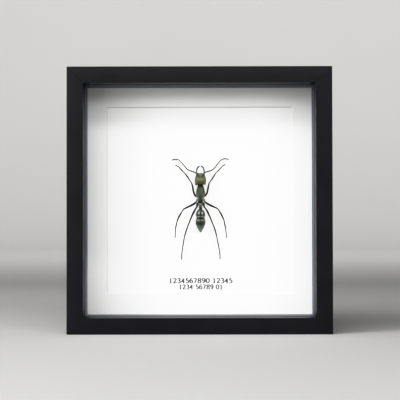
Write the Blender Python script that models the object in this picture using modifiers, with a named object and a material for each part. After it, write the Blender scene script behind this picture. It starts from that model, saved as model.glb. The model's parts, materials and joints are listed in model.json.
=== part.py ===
"""Framed ant specimen: a small black box frame with a large forest ant mounted behind glass.

The frame stands upright. X runs to the right, Z runs up and -Y faces the viewer. The origin is in
the middle of the bottom edge, halfway through the depth. Run it with
blender --background --python part.py, or from the text editor.
"""

from math import cos, pi, sin

import bmesh
import bpy
import numpy as np
from mathutils import Matrix, Vector

MM = 0.001

# Box frame: outer size, width of the front face, thickness of the front lip and of the side wall
FRAME_WIDTH = 125.0 * MM
FRAME_HEIGHT = 126.0 * MM
FRAME_DEPTH = 34.0 * MM
FACE_WIDTH = 7.75 * MM
LIP_THICKNESS = 5.0 * MM
WALL_THICKNESS = 3.5 * MM
ARRIS = 0.4 * MM
GAP = 0.3 * MM

# Layers behind the lip, from front to back
GLASS_THICKNESS = 2.0 * MM
SPACER_DEPTH = 13.5 * MM
MAT_THICKNESS = 0.8 * MM
CARD_THICKNESS = 1.0 * MM
BOARD_THICKNESS = 3.0 * MM
TAB_THICKNESS = 0.5 * MM

# Window cut in the mat board, with its bevelled edge opening towards the glass
WINDOW_WIDTH = 90.0 * MM
WINDOW_HEIGHT = 90.6 * MM
WINDOW_CENTRE_Z = 63.3 * MM

# Bendable steel tabs that hold the back board in
TAB_LENGTH = 12.0 * MM
TAB_WIDTH = 6.0 * MM
TAB_OFFSET = 32.0 * MM

# Sawtooth hanger riveted to the back board
HANGER_WIDTH = 44.0 * MM
HANGER_HEIGHT = 9.0 * MM
HANGER_THICKNESS = 0.8 * MM
HANGER_DROP = 20.0 * MM
HANGER_HOLE_SPACING = 37.0 * MM
HANGER_HOLE_RADIUS = 1.4 * MM
TOOTH_COUNT = 12
TOOTH_PITCH = 2.2 * MM
TOOTH_DEPTH = 1.0 * MM
RIVET_SHANK_RADIUS = 1.0 * MM
RIVET_HEAD_RADIUS = 2.4 * MM
RIVET_HEAD_HEIGHT = 1.1 * MM
RIVET_HOLE_DEPTH = 2.2 * MM

# Ant: where the middle of its thorax lies on the card
ANT_X = 0.4 * MM
ANT_Z = 63.4 * MM
BODY_SIDES = 16

# Distance of each layer's front from the front face of the frame
GLASS_FRONT = LIP_THICKNESS + GAP
SPACER_FRONT = GLASS_FRONT + GLASS_THICKNESS + GAP
MAT_FRONT = SPACER_FRONT + SPACER_DEPTH + GAP
CARD_FRONT = MAT_FRONT + MAT_THICKNESS + GAP
BOARD_FRONT = CARD_FRONT + CARD_THICKNESS + GAP
BOARD_BACK = BOARD_FRONT + BOARD_THICKNESS

FRONT_Y = -FRAME_DEPTH / 2
REBATE_INSET = WALL_THICKNESS + GAP
SHEET_WIDTH = FRAME_WIDTH - 2 * REBATE_INSET
SHEET_HEIGHT = FRAME_HEIGHT - 2 * REBATE_INSET

# Ant bodies: position along the body, half width, half height and height off the card, in
# millimetres. The head end of each list comes first.
HEAD_RINGS = [
    (12.95, 1.62, 0.50, 2.45),
    (12.55, 1.98, 0.85, 2.50),
    (11.70, 2.22, 1.14, 2.58),
    (10.50, 2.52, 1.38, 2.66),
    (9.30, 2.66, 1.50, 2.70),
    (8.40, 2.62, 1.42, 2.70),
    (7.75, 2.42, 1.18, 2.70),
    (7.35, 1.95, 0.80, 2.70),
]
HEAD_REAR_DENT = 0.75
THORAX_RINGS = [
    (7.75, 0.68, 0.42, 2.76),
    (7.40, 1.00, 0.68, 2.82),
    (6.85, 1.16, 0.86, 2.90),
    (6.10, 1.42, 1.12, 2.98),
    (4.90, 1.74, 1.40, 3.05),
    (3.60, 1.95, 1.52, 3.08),
    (2.40, 2.00, 1.50, 3.08),
    (1.30, 1.78, 1.40, 3.05),
    (0.20, 1.55, 1.28, 3.00),
    (-0.70, 1.38, 1.08, 2.92),
    (-1.35, 0.95, 0.66, 2.80),
]
PETIOLE_RINGS = [
    (-1.50, 0.40, 0.40, 2.55),
    (-1.75, 0.82, 0.80, 2.75),
    (-2.15, 0.98, 1.05, 2.90),
    (-2.60, 0.90, 0.85, 2.80),
    (-3.20, 0.68, 0.58, 2.60),
    (-3.90, 0.60, 0.50, 2.50),
    (-4.30, 0.46, 0.42, 2.50),
]
GASTER_RINGS = [
    (-4.40, 0.52, 0.50, 2.50),
    (-4.90, 1.12, 1.10, 2.50),
    (-5.70, 1.74, 1.66, 2.52),
    (-6.80, 2.14, 1.98, 2.55),
    (-7.80, 2.08, 1.96, 2.55),
    (-8.25, 1.92, 1.82, 2.55),
    (-8.70, 2.02, 1.92, 2.55),
    (-9.60, 2.30, 2.08, 2.58),
    (-10.80, 2.38, 2.10, 2.58),
    (-12.10, 2.18, 1.92, 2.55),
    (-13.40, 1.66, 1.50, 2.50),
    (-14.60, 1.02, 0.96, 2.45),
    (-15.50, 0.48, 0.46, 2.40),
    (-15.90, 0.14, 0.14, 2.40),
]

# Ant limbs: across, along, height off the card and radius, in millimetres. Each leg runs from its
# coxa under the thorax over the knee to the tip of its foot.
LIMBS = {
    "ant_mandible_left": [
        (-1.80, 13.02, 2.40, 0.34),
        (-2.06, 13.65, 2.35, 0.33),
        (-2.14, 14.60, 2.28, 0.33),
        (-1.80, 15.50, 2.26, 0.34),
        (-1.20, 16.20, 2.26, 0.24),
        (-0.50, 16.60, 2.28, 0.08),
    ],
    "ant_mandible_right": [
        (1.82, 13.02, 2.40, 0.34),
        (2.08, 13.65, 2.35, 0.33),
        (2.16, 14.60, 2.28, 0.33),
        (1.78, 15.50, 2.26, 0.34),
        (1.15, 16.20, 2.26, 0.24),
        (0.36, 16.60, 2.28, 0.08),
    ],
    "ant_antenna_left": [
        (-1.30, 11.75, 3.76, 0.16),
        (-2.37, 13.20, 3.35, 0.20),
        (-4.00, 13.92, 3.00, 0.22),
        (-5.64, 14.53, 2.60, 0.24),
        (-6.67, 15.31, 2.40, 0.20),
        (-7.99, 16.73, 2.00, 0.18),
        (-9.60, 18.74, 1.50, 0.18),
        (-10.52, 19.58, 1.20, 0.18),
        (-12.19, 19.92, 0.90, 0.18),
        (-13.36, 19.78, 0.70, 0.18),
        (-13.80, 19.34, 0.60, 0.12),
    ],
    "ant_antenna_right": [
        (1.25, 11.75, 3.78, 0.16),
        (2.22, 13.34, 3.35, 0.20),
        (3.74, 14.02, 3.00, 0.22),
        (5.60, 14.61, 2.60, 0.24),
        (7.02, 15.68, 2.35, 0.20),
        (8.39, 17.39, 1.95, 0.18),
        (9.81, 19.15, 1.45, 0.18),
        (10.50, 19.73, 1.20, 0.18),
        (11.91, 20.07, 0.90, 0.18),
        (13.00, 19.98, 0.70, 0.18),
        (13.77, 19.77, 0.60, 0.12),
    ],
    "ant_leg_front_left": [
        (-0.95, 2.90, 1.22, 0.40),
        (-1.50, 2.25, 1.08, 0.46),
        (-1.88, 1.72, 0.92, 0.34),
        (-2.08, 1.62, 0.92, 0.24),
        (-2.60, 2.55, 1.25, 0.32),
        (-3.32, 4.11, 1.75, 0.35),
        (-3.78, 6.40, 2.40, 0.31),
        (-4.14, 8.07, 2.75, 0.25),
        (-4.60, 8.90, 2.60, 0.20),
        (-6.33, 11.69, 1.60, 0.25),
        (-7.50, 13.21, 0.75, 0.22),
        (-9.16, 14.88, 0.36, 0.16),
        (-10.68, 16.40, 0.32, 0.15),
        (-11.95, 17.08, 0.30, 0.13),
    ],
    "ant_leg_front_right": [
        (0.95, 2.90, 1.22, 0.40),
        (1.50, 2.30, 1.08, 0.46),
        (1.88, 1.84, 0.92, 0.34),
        (2.08, 1.76, 0.92, 0.24),
        (2.62, 2.70, 1.25, 0.32),
        (3.23, 3.85, 1.75, 0.35),
        (3.74, 6.10, 2.40, 0.31),
        (4.07, 8.06, 2.75, 0.25),
        (4.55, 8.85, 2.60, 0.20),
        (6.03, 11.08, 1.65, 0.25),
        (7.45, 13.18, 0.75, 0.22),
        (9.12, 14.84, 0.36, 0.16),
        (10.73, 16.45, 0.32, 0.15),
        (12.00, 17.23, 0.30, 0.13),
    ],
    "ant_leg_mid_left": [
        (-1.05, 0.80, 1.30, 0.42),
        (-1.58, 0.25, 1.42, 0.54),
        (-1.92, -0.45, 1.25, 0.44),
        (-2.18, -0.90, 1.05, 0.26),
        (-3.57, -2.00, 1.55, 0.34),
        (-5.80, -3.30, 2.20, 0.35),
        (-8.12, -4.48, 2.75, 0.26),
        (-8.90, -5.40, 2.60, 0.21),
        (-10.20, -7.60, 1.80, 0.25),
        (-11.25, -9.94, 0.85, 0.22),
        (-11.89, -12.24, 0.38, 0.17),
        (-12.33, -14.58, 0.32, 0.16),
        (-12.34, -18.19, 0.30, 0.13),
    ],
    "ant_leg_mid_right": [
        (1.05, 0.80, 1.30, 0.42),
        (1.60, 0.25, 1.42, 0.54),
        (1.94, -0.45, 1.25, 0.44),
        (2.20, -0.90, 1.05, 0.26),
        (4.15, -2.35, 1.65, 0.34),
        (6.20, -3.25, 2.25, 0.35),
        (8.34, -4.17, 2.75, 0.26),
        (9.00, -4.95, 2.60, 0.21),
        (10.24, -6.91, 1.90, 0.25),
        (11.51, -9.50, 0.85, 0.22),
        (12.18, -13.01, 0.38, 0.17),
        (12.52, -15.36, 0.32, 0.16),
        (12.71, -18.24, 0.30, 0.13),
    ],
    "ant_leg_hind_left": [
        (-1.00, -1.20, 1.42, 0.38),
        (-1.42, -1.85, 1.60, 0.55),
        (-1.60, -2.60, 1.35, 0.50),
        (-1.70, -3.20, 1.10, 0.27),
        (-2.25, -4.40, 1.35, 0.31),
        (-3.33, -6.20, 1.80, 0.35),
        (-4.45, -8.60, 2.40, 0.32),
        (-5.44, -10.98, 2.75, 0.25),
        (-5.85, -12.00, 2.55, 0.21),
        (-7.06, -14.83, 1.55, 0.25),
        (-7.79, -17.61, 0.75, 0.22),
        (-8.48, -21.13, 0.36, 0.16),
        (-9.22, -25.57, 0.32, 0.15),
        (-9.32, -28.83, 0.30, 0.12),
    ],
    "ant_leg_hind_right": [
        (1.00, -1.20, 1.42, 0.38),
        (1.44, -1.85, 1.60, 0.55),
        (1.62, -2.60, 1.35, 0.50),
        (1.72, -3.20, 1.10, 0.27),
        (2.25, -4.20, 1.35, 0.31),
        (3.21, -5.72, 1.75, 0.35),
        (4.45, -8.50, 2.40, 0.32),
        (5.65, -11.15, 2.75, 0.25),
        (6.05, -12.15, 2.55, 0.21),
        (7.15, -14.61, 1.60, 0.25),
        (7.88, -17.45, 0.75, 0.22),
        (8.65, -21.40, 0.36, 0.16),
        (9.38, -25.60, 0.32, 0.15),
        (9.66, -28.52, 0.30, 0.12),
    ],
}


def clear_scene():
    for old in list(bpy.data.objects):
        bpy.data.objects.remove(old, do_unlink=True)


def new_collection(name):
    collection = bpy.data.collections.new(name)
    bpy.context.scene.collection.children.link(collection)
    return collection


def make_material(name, colour, roughness, metallic=0.0, transmission=0.0):
    material = bpy.data.materials.new(name)
    material.use_nodes = True
    shader = material.node_tree.nodes["Principled BSDF"]
    shader.inputs["Base Color"].default_value = (*colour, 1.0)
    shader.inputs["Roughness"].default_value = roughness
    shader.inputs["Metallic"].default_value = metallic
    shader.inputs["Transmission Weight"].default_value = transmission
    return material


def add_object(name, data, collection, material=None, matrix=None):
    made = bpy.data.objects.new(name, data)
    collection.objects.link(made)
    if material is not None:
        data.materials.append(material)
    if matrix is not None:
        made.matrix_world = matrix
    return made


def box(name, low, high, collection, material=None):
    """A block between two corners."""
    size = Vector(high) - Vector(low)
    middle = (Vector(high) + Vector(low)) / 2
    mesh = bpy.data.meshes.new(name)
    shape = bmesh.new()
    bmesh.ops.create_cube(shape, size=1.0)
    bmesh.ops.scale(shape, vec=size, verts=shape.verts)
    shape.to_mesh(mesh)
    shape.free()
    return add_object(name, mesh, collection, material, Matrix.Translation(middle))


def flat_curve(name, outlines, thickness):
    """A flat outline, with any holes as further outlines, extruded to its thickness about z = 0."""
    curve = bpy.data.curves.new(name, "CURVE")
    curve.dimensions = "2D"
    curve.fill_mode = "BOTH"
    curve.extrude = thickness / 2
    for outline in outlines:
        spline = curve.splines.new("POLY")
        spline.points.add(len(outline) - 1)
        for point, (x, y) in zip(spline.points, outline):
            point.co = (x, y, 0.0, 1.0)
        spline.use_cyclic_u = True
    return curve


def curve_to_mesh(curve):
    """The curve as a closed mesh, with the seams of its caps welded."""
    holder = bpy.data.objects.new("holder", curve)
    bpy.context.scene.collection.objects.link(holder)
    bpy.context.view_layer.update()
    evaluated = holder.evaluated_get(bpy.context.evaluated_depsgraph_get())
    mesh = bpy.data.meshes.new_from_object(evaluated)
    bpy.data.objects.remove(holder, do_unlink=True)
    shape = bmesh.new()
    shape.from_mesh(mesh)
    bmesh.ops.remove_doubles(shape, verts=shape.verts, dist=0.000001)
    bmesh.ops.recalc_face_normals(shape, faces=shape.faces)
    shape.to_mesh(mesh)
    shape.free()
    return mesh


def side_axes(side):
    """Inward direction of a side of the frame, and the middle of its outer front edge."""
    middle_z = FRAME_HEIGHT / 2
    inward, start = {
        "top": ((0, 0, -1), (0, FRONT_Y, FRAME_HEIGHT)),
        "bottom": ((0, 0, 1), (0, FRONT_Y, 0)),
        "left": ((1, 0, 0), (-FRAME_WIDTH / 2, FRONT_Y, middle_z)),
        "right": ((-1, 0, 0), (FRAME_WIDTH / 2, FRONT_Y, middle_z)),
    }[side]
    return Vector(inward), Vector(start)


def side_matrix(side):
    """Places a bar's section: its x runs inwards, its y towards the back and its z along the side."""
    inward, start = side_axes(side)
    backward = Vector((0, 1, 0))
    turn = Matrix((inward, backward, inward.cross(backward))).transposed()
    return Matrix.Translation(start) @ turn.to_4x4()


def side_length(side):
    return FRAME_WIDTH if side in ("top", "bottom") else FRAME_HEIGHT


def mitred_bar(name, side, section, collection, material):
    """A bar along one side, mitred at both ends to meet its neighbours with a gap between them."""
    length = side_length(side)
    mesh = curve_to_mesh(flat_curve(name, [section], length))
    for vertex in mesh.vertices:
        reach = length / 2 - vertex.co.x - GAP * 0.5 ** 0.5
        vertex.co.z = reach if vertex.co.z > 0 else -reach
    return add_object(name, mesh, collection, material, side_matrix(side))


def build_frame(collection, paint):
    """Four mitred rails with a lip in front of the glass and a deep rebate behind it."""
    section = [
        (0, ARRIS),
        (ARRIS, 0),
        (FACE_WIDTH - ARRIS, 0),
        (FACE_WIDTH, ARRIS),
        (FACE_WIDTH, LIP_THICKNESS),
        (WALL_THICKNESS, LIP_THICKNESS),
        (WALL_THICKNESS, FRAME_DEPTH),
        (0, FRAME_DEPTH),
    ]
    for side in ("top", "bottom", "left", "right"):
        mitred_bar("frame_rail_" + side, side, section, collection, paint)


def build_spacers(collection, paint):
    """Four slips in the rebate, flush with the lip, that hold the mat away from the glass."""
    back = SPACER_FRONT + SPACER_DEPTH
    section = [
        (REBATE_INSET, SPACER_FRONT),
        (FACE_WIDTH, SPACER_FRONT),
        (FACE_WIDTH, back),
        (REBATE_INSET, back),
    ]
    for side in ("top", "bottom", "left", "right"):
        mitred_bar("spacer_" + side, side, section, collection, paint)


def sheet(name, front, thickness, collection, material):
    """A flat sheet that fills the rebate, with its front at a distance from the frame's face."""
    low = (-SHEET_WIDTH / 2, FRONT_Y + front, REBATE_INSET)
    high = (SHEET_WIDTH / 2, FRONT_Y + front + thickness, REBATE_INSET + SHEET_HEIGHT)
    return box(name, low, high, collection, material)


def rectangle(width, height, middle):
    return [
        (-width / 2, middle - height / 2),
        (width / 2, middle - height / 2),
        (width / 2, middle + height / 2),
        (-width / 2, middle + height / 2),
    ]


def build_mat(collection, board):
    """Mat board with a square window whose cut edge slopes out towards the glass."""
    middle = FRAME_HEIGHT / 2
    outer = rectangle(SHEET_WIDTH, SHEET_HEIGHT, middle)
    window = rectangle(WINDOW_WIDTH, WINDOW_HEIGHT, WINDOW_CENTRE_Z)
    mesh = curve_to_mesh(flat_curve("mat_board", [outer, window], MAT_THICKNESS))
    for vertex in mesh.vertices:
        in_window = abs(vertex.co.x) < WINDOW_WIDTH / 2 + MM
        if in_window and vertex.co.z > 0:
            vertex.co.x += MAT_THICKNESS if vertex.co.x > 0 else -MAT_THICKNESS
            vertex.co.y += MAT_THICKNESS if vertex.co.y > WINDOW_CENTRE_Z else -MAT_THICKNESS
    middle_y = FRONT_Y + MAT_FRONT + MAT_THICKNESS / 2
    upright = Matrix.Translation((0, middle_y, 0)) @ Matrix.Rotation(pi / 2, 4, "X")
    add_object("mat_board", mesh, collection, board, upright)


def hanger_outline():
    """Plate with rounded ears and a row of teeth cut into its lower edge between them."""
    ear = HANGER_HEIGHT / 2
    straight = HANGER_WIDTH / 2 - ear
    steps = 6
    outline = []
    for side in (1, -1):
        for step in range(steps + 1):
            turn = -pi / 2 + pi * step / steps
            outline.append((side * (straight + ear * cos(turn)), side * ear * sin(turn)))
    half_row = TOOTH_COUNT * TOOTH_PITCH / 2
    for tooth in range(TOOTH_COUNT):
        left = -half_row + tooth * TOOTH_PITCH
        outline.append((left, -ear))
        outline.append((left + TOOTH_PITCH / 2, -ear + TOOTH_DEPTH))
    outline.append((half_row, -ear))
    return outline


def circle(x, y, radius, steps=16):
    return [(x + radius * cos(2 * pi * i / steps), y + radius * sin(2 * pi * i / steps)) for i in range(steps)]


def turned(name, profile, steps, collection, material, matrix):
    """A round piece turned about z from (radius, z) points that run down its outer side."""
    mesh = bpy.data.meshes.new(name)
    points = [(radius, 0, z) for radius, z in profile]
    mesh.from_pydata(points, [(i, i + 1) for i in range(len(points) - 1)], [])
    made = add_object(name, mesh, collection, material, matrix)
    screw = made.modifiers.new("turn", "SCREW")
    screw.steps = steps
    screw.render_steps = steps
    screw.use_merge_vertices = True
    screw.merge_threshold = 0.00001
    return made


def build_back(collection, cutters, board, steel, brass):
    """Back board, the bendable tabs that keep it in, and the hanger with its two rivets."""
    panel = sheet("back_board", BOARD_FRONT, BOARD_THICKNESS, collection, board)
    tab_middle = BOARD_BACK + GAP + TAB_THICKNESS / 2
    half = TAB_WIDTH / 2
    straight = TAB_LENGTH - half
    tab_outline = [(0, -half), (straight, -half)]
    for step in range(1, 6):
        turn = -pi / 2 + pi * step / 6
        tab_outline.append((straight + half * cos(turn), half * sin(turn)))
    tab_outline += [(straight, half), (0, half)]
    tab_mesh = curve_to_mesh(flat_curve("tab", [tab_outline], TAB_THICKNESS))
    tab_mesh.materials.append(steel)
    for side in ("top", "bottom", "left", "right"):
        for place, offset in (("a", -TAB_OFFSET), ("b", TAB_OFFSET)):
            on_board = Matrix.Translation((REBATE_INSET, tab_middle, offset))
            turn = Matrix.Rotation(-pi / 2, 4, "X")
            matrix = side_matrix(side) @ on_board @ turn
            add_object("tab_" + side + "_" + place, tab_mesh, collection, None, matrix)

    hanger_z = FRAME_HEIGHT - HANGER_DROP
    hanger_y = FRONT_Y + BOARD_BACK + GAP + HANGER_THICKNESS / 2
    holes = [circle(x, 0, HANGER_HOLE_RADIUS) for x in (-HANGER_HOLE_SPACING / 2, HANGER_HOLE_SPACING / 2)]
    plate = curve_to_mesh(flat_curve("sawtooth_hanger", [hanger_outline()] + holes, HANGER_THICKNESS))
    from_behind = Matrix.Translation((0, hanger_y, hanger_z)) @ Matrix.Rotation(pi / 2, 4, "X")
    add_object("sawtooth_hanger", plate, collection, brass, from_behind)

    plate_back = FRONT_Y + BOARD_BACK + GAP + HANGER_THICKNESS + GAP
    shank_end = -(HANGER_THICKNESS + 2 * GAP + RIVET_HOLE_DEPTH - GAP)
    crown = [
        (RIVET_HEAD_RADIUS * sin(pi / 2 * i / 4), RIVET_HEAD_HEIGHT * cos(pi / 2 * i / 4)) for i in range(5)
    ]
    profile = crown + [(RIVET_SHANK_RADIUS, 0), (RIVET_SHANK_RADIUS, shank_end), (0, shank_end)]
    for side, x in (("left", -HANGER_HOLE_SPACING / 2), ("right", HANGER_HOLE_SPACING / 2)):
        facing_back = Matrix.Translation((x, plate_back, hanger_z)) @ Matrix.Rotation(-pi / 2, 4, "X")
        turned("hanger_rivet_" + side, profile, 16, collection, brass, facing_back)
        hole = box(
            "hole_" + side,
            (x - HANGER_HOLE_RADIUS, FRONT_Y + BOARD_BACK - RIVET_HOLE_DEPTH, hanger_z - HANGER_HOLE_RADIUS),
            (x + HANGER_HOLE_RADIUS, FRONT_Y + BOARD_BACK + MM, hanger_z + HANGER_HOLE_RADIUS),
            cutters,
        )
        hole.hide_render = True
        hole.display_type = "WIRE"
        cut = panel.modifiers.new("cut_" + side, "BOOLEAN")
        cut.object = hole
        cut.operation = "DIFFERENCE"
        cut.solver = "EXACT"


def lofted_body(name, rings, dent, parent, collection, material):
    """A closed body through oval rings. At its tail end the rings bow forward in the middle by dent."""
    table = np.array(rings)
    turn = 2 * pi * np.arange(BODY_SIDES) / BODY_SIDES
    tail = np.linspace(0, 1, len(rings)) ** 3
    mesh = bpy.data.meshes.new(name)
    shape = bmesh.new()
    loops = []
    for (along, half_width, half_height, height), bow in zip(table, tail * dent):
        loop = []
        for angle in turn:
            forward = along + bow * (1 - cos(angle) ** 2)
            place = Vector((half_width * cos(angle), forward, height + half_height * sin(angle)))
            loop.append(shape.verts.new(place * MM))
        loops.append(loop)
    for first, second in zip(loops, loops[1:]):
        for i in range(BODY_SIDES):
            after = (i + 1) % BODY_SIDES
            shape.faces.new((first[i], first[after], second[after], second[i]))
    for loop, ring, bow in ((loops[0], table[0], 0.0), (loops[-1], table[-1], dent)):
        tip = shape.verts.new(Vector((0, ring[0] + bow, ring[3])) * MM)
        for i in range(BODY_SIDES):
            shape.faces.new((loop[i], loop[(i + 1) % BODY_SIDES], tip))
    bmesh.ops.recalc_face_normals(shape, faces=shape.faces)
    shape.to_mesh(mesh)
    shape.free()
    mesh.shade_smooth()
    body = add_object(name, mesh, collection, material)
    body.parent = parent
    return body


def limb(name, points, parent, collection, material):
    """A tapering limb: a tube through points that carry their own radius."""
    curve = bpy.data.curves.new(name, "CURVE")
    curve.dimensions = "3D"
    curve.bevel_depth = MM
    curve.bevel_resolution = 2
    curve.use_fill_caps = True
    spline = curve.splines.new("POLY")
    spline.points.add(len(points) - 1)
    for point, (across, along, height, radius) in zip(spline.points, points):
        point.co = (across * MM, along * MM, height * MM, 1.0)
        point.radius = radius
    made = add_object(name, curve_to_mesh(curve), collection, material)
    made.parent = parent
    return made


def build_ant(collection, cuticle, shiny, limb_brown):
    """The ant, belly towards the card and head up. Its own x runs across and its y along the body."""
    on_card = bpy.data.objects.new("ant_place", None)
    collection.objects.link(on_card)
    on_card.location = (ANT_X, FRONT_Y + CARD_FRONT, ANT_Z)
    on_card.rotation_euler = (pi / 2, 0, 0)
    bpy.context.view_layer.update()
    lofted_body("ant_head", HEAD_RINGS, HEAD_REAR_DENT, on_card, collection, cuticle)
    lofted_body("ant_thorax", THORAX_RINGS, 0.0, on_card, collection, cuticle)
    lofted_body("ant_petiole", PETIOLE_RINGS, 0.0, on_card, collection, cuticle)
    lofted_body("ant_gaster", GASTER_RINGS, 0.0, on_card, collection, shiny)
    for name, points in LIMBS.items():
        limb(name, points, on_card, collection, limb_brown)


def main():
    clear_scene()
    parts = new_collection("framed_ant_specimen")
    cutters = new_collection("cutters")
    paint = make_material("black_satin_paint", (0.016, 0.015, 0.015), 0.42)
    slip = make_material("black_spacer", (0.02, 0.02, 0.02), 0.5)
    glass = make_material("clear_glass", (1.0, 1.0, 1.0), 0.02, transmission=1.0)
    mat = make_material("white_mat", (0.86, 0.86, 0.85), 0.8)
    card = make_material("white_card", (0.9, 0.9, 0.89), 0.75)
    board = make_material("brown_fibreboard", (0.33, 0.22, 0.13), 0.8)
    steel = make_material("bright_steel", (0.6, 0.6, 0.6), 0.35, metallic=1.0)
    brass = make_material("brassed_steel", (0.62, 0.47, 0.22), 0.35, metallic=1.0)
    cuticle = make_material("olive_cuticle", (0.08, 0.095, 0.05), 0.45)
    shiny = make_material("dark_green_cuticle", (0.045, 0.062, 0.045), 0.3)
    limb_brown = make_material("black_brown_cuticle", (0.018, 0.02, 0.014), 0.4)

    build_frame(parts, paint)
    sheet("glass_pane", GLASS_FRONT, GLASS_THICKNESS, parts, glass)
    build_spacers(parts, slip)
    build_mat(parts, mat)
    sheet("mount_card", CARD_FRONT, CARD_THICKNESS, parts, card)
    build_ant(parts, cuticle, shiny, limb_brown)
    build_back(parts, cutters, board, steel, brass)


main()
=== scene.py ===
"""Looks of a framed ant specimen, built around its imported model.

The file is laid out as an add-on and is run as a script. The model's frame is used throughout:
metres, X to the right, Z up, and -Y towards the viewer. The ant's own tables are in millimetres:
u runs across the body, v along it towards the head, and h off the card towards the glass.
"""

import json
from functools import partial
from math import cos, pi, radians, sin

import bpy
import numpy as np
from bpy.props import FloatProperty, FloatVectorProperty, IntProperty, PointerProperty, StringProperty
from bpy.types import NodeSocket, Operator, Panel, PropertyGroup
from mathutils import Matrix, Vector

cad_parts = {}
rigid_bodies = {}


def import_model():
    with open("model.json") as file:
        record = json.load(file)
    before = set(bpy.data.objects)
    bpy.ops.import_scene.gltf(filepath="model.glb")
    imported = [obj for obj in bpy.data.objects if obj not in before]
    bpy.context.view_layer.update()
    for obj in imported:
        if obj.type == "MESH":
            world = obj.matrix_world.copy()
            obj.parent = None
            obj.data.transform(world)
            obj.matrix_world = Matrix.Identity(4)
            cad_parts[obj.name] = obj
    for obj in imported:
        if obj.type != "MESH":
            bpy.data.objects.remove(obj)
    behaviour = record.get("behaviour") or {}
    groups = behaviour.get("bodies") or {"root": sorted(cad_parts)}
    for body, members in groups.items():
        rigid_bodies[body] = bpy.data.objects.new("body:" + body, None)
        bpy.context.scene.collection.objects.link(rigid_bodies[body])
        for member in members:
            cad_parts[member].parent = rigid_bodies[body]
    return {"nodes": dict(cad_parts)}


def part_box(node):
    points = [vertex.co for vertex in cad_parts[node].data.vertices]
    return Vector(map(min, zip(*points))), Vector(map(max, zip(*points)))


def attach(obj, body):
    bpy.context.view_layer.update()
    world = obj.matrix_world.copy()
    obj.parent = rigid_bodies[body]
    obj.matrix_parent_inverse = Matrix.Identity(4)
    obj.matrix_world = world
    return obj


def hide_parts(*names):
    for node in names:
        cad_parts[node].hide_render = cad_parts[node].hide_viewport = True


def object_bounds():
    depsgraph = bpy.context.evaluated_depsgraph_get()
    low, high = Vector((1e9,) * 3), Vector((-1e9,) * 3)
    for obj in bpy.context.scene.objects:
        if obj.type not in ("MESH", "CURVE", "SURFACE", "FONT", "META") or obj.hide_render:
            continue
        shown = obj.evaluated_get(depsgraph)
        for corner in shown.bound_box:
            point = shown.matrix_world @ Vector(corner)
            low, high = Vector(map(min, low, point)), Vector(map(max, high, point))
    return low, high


bl_info = {
    "name": "Framed ant specimen",
    "version": (1, 0, 0),
    "blender": (4, 5, 0),
    "location": "3D View > Sidebar > Specimen",
    "description": "Builds the finish of a small box frame with a mounted ant, and its studio stage",
    "category": "Object",
}

MM = 0.001

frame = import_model()
cad_box = [list(corner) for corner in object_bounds()]

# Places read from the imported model
FRAME_WIDTH = cad_box[1][0] - cad_box[0][0]
FRAME_HEIGHT = cad_box[1][2] - cad_box[0][2]
FRAME_DEPTH = cad_box[1][1] - cad_box[0][1]
FRONT_Y = cad_box[0][1]
FACE_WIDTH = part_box("frame_rail_left")[1].x - cad_box[0][0]
CARD_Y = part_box("mount_card")[0].y

# The direction from each side of the frame towards its middle
INWARD = {"top": (0, 0, -1), "bottom": (0, 0, 1), "left": (1, 0, 0), "right": (-1, 0, 0)}
BACKWARD = np.array([0.0, 1.0, 0.0])

# Sizes that a node's box doesn't show
LIP_THICKNESS = 5.0 * MM
WALL_THICKNESS = 3.5 * MM
WINDOW_SIZE = (90.0 * MM, 90.6 * MM)
WINDOW_CENTRE_Z = 63.3 * MM
# Radii of the small edges, how far the mitres' edges are eased, and the mat's eased edge and its bevel
SMALL_ARRIS = 0.12 * MM
SLIP_ARRIS = 0.15 * MM
RAIL_EASE = 0.04 * MM
SLIP_EASE = 0.05 * MM
MAT_EASE = 0.06 * MM
MAT_BEVEL = 0.56 * MM
# Tabs, hanger and rivets
TAB_CORNER = 0.3 * MM
TAB_EASE = 0.12 * MM
HANGER_EASE = 0.1 * MM
TOOTH_COUNT = 12
TOOTH_PITCH = 2.2 * MM
TOOTH_DEPTH = 1.0 * MM
RIVET_SHANK_RADIUS = 1.0 * MM
RIVET_CROWN_HEIGHT = 1.1 * MM
# Where the ant's own zero lies
ANT_X = 0.4 * MM
ANT_Z = 63.4 * MM

# How much light bends in glass, the tint of the slips' haze and the colour of dust
GLASS_INDEX = 1.5
HAZE_TINT = (0.55, 0.68, 1.0)
DUST_COLOUR = (0.16, 0.15, 0.14)

# Soft lights: azimuth and elevation in degrees, and distance, width and height in metres
LIGHTS = {
    "key": (-40, 28, 0.95, 0.80, 1.00),
    "window": (-62, 25, 0.95, 0.50, 0.80),
    "front": (6, 20, 1.10, 0.60, 0.20),
    "upper": (4, 42, 1.10, 0.60, 0.20),
    "side": (39, 22, 0.95, 0.36, 0.50),
    "backdrop": (180, 60, 1.3, 2.4, 0.6),
}
BACKDROP_LIGHT_TILT = 78
# How the names of the ant's pieces start
ANT_PIECES = ("head_", "thorax", "waist", "gaster", "jaw_", "antenna_", "leg_")

# Camera: its place, and its tilt, pan and roll in degrees
CAMERA_PLACE = (0.0014, -0.5416, 0.0538)
CAMERA_TURNS = (1.01, 0.13, 0.10)

# Film response: the light that shows as white, and what lesser light shows as
FILM_WHITE = 2.0
FILM_CURVE = (
    (0.02, 0.0125), (0.05, 0.031), (0.1, 0.066), (0.2, 0.15), (0.3, 0.247), (0.4, 0.355), (0.5, 0.47),
    (0.6, 0.585), (0.75, 0.74), (0.9, 0.855), (1.0, 0.905), (1.2, 0.955), (1.5, 0.987),
)

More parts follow.
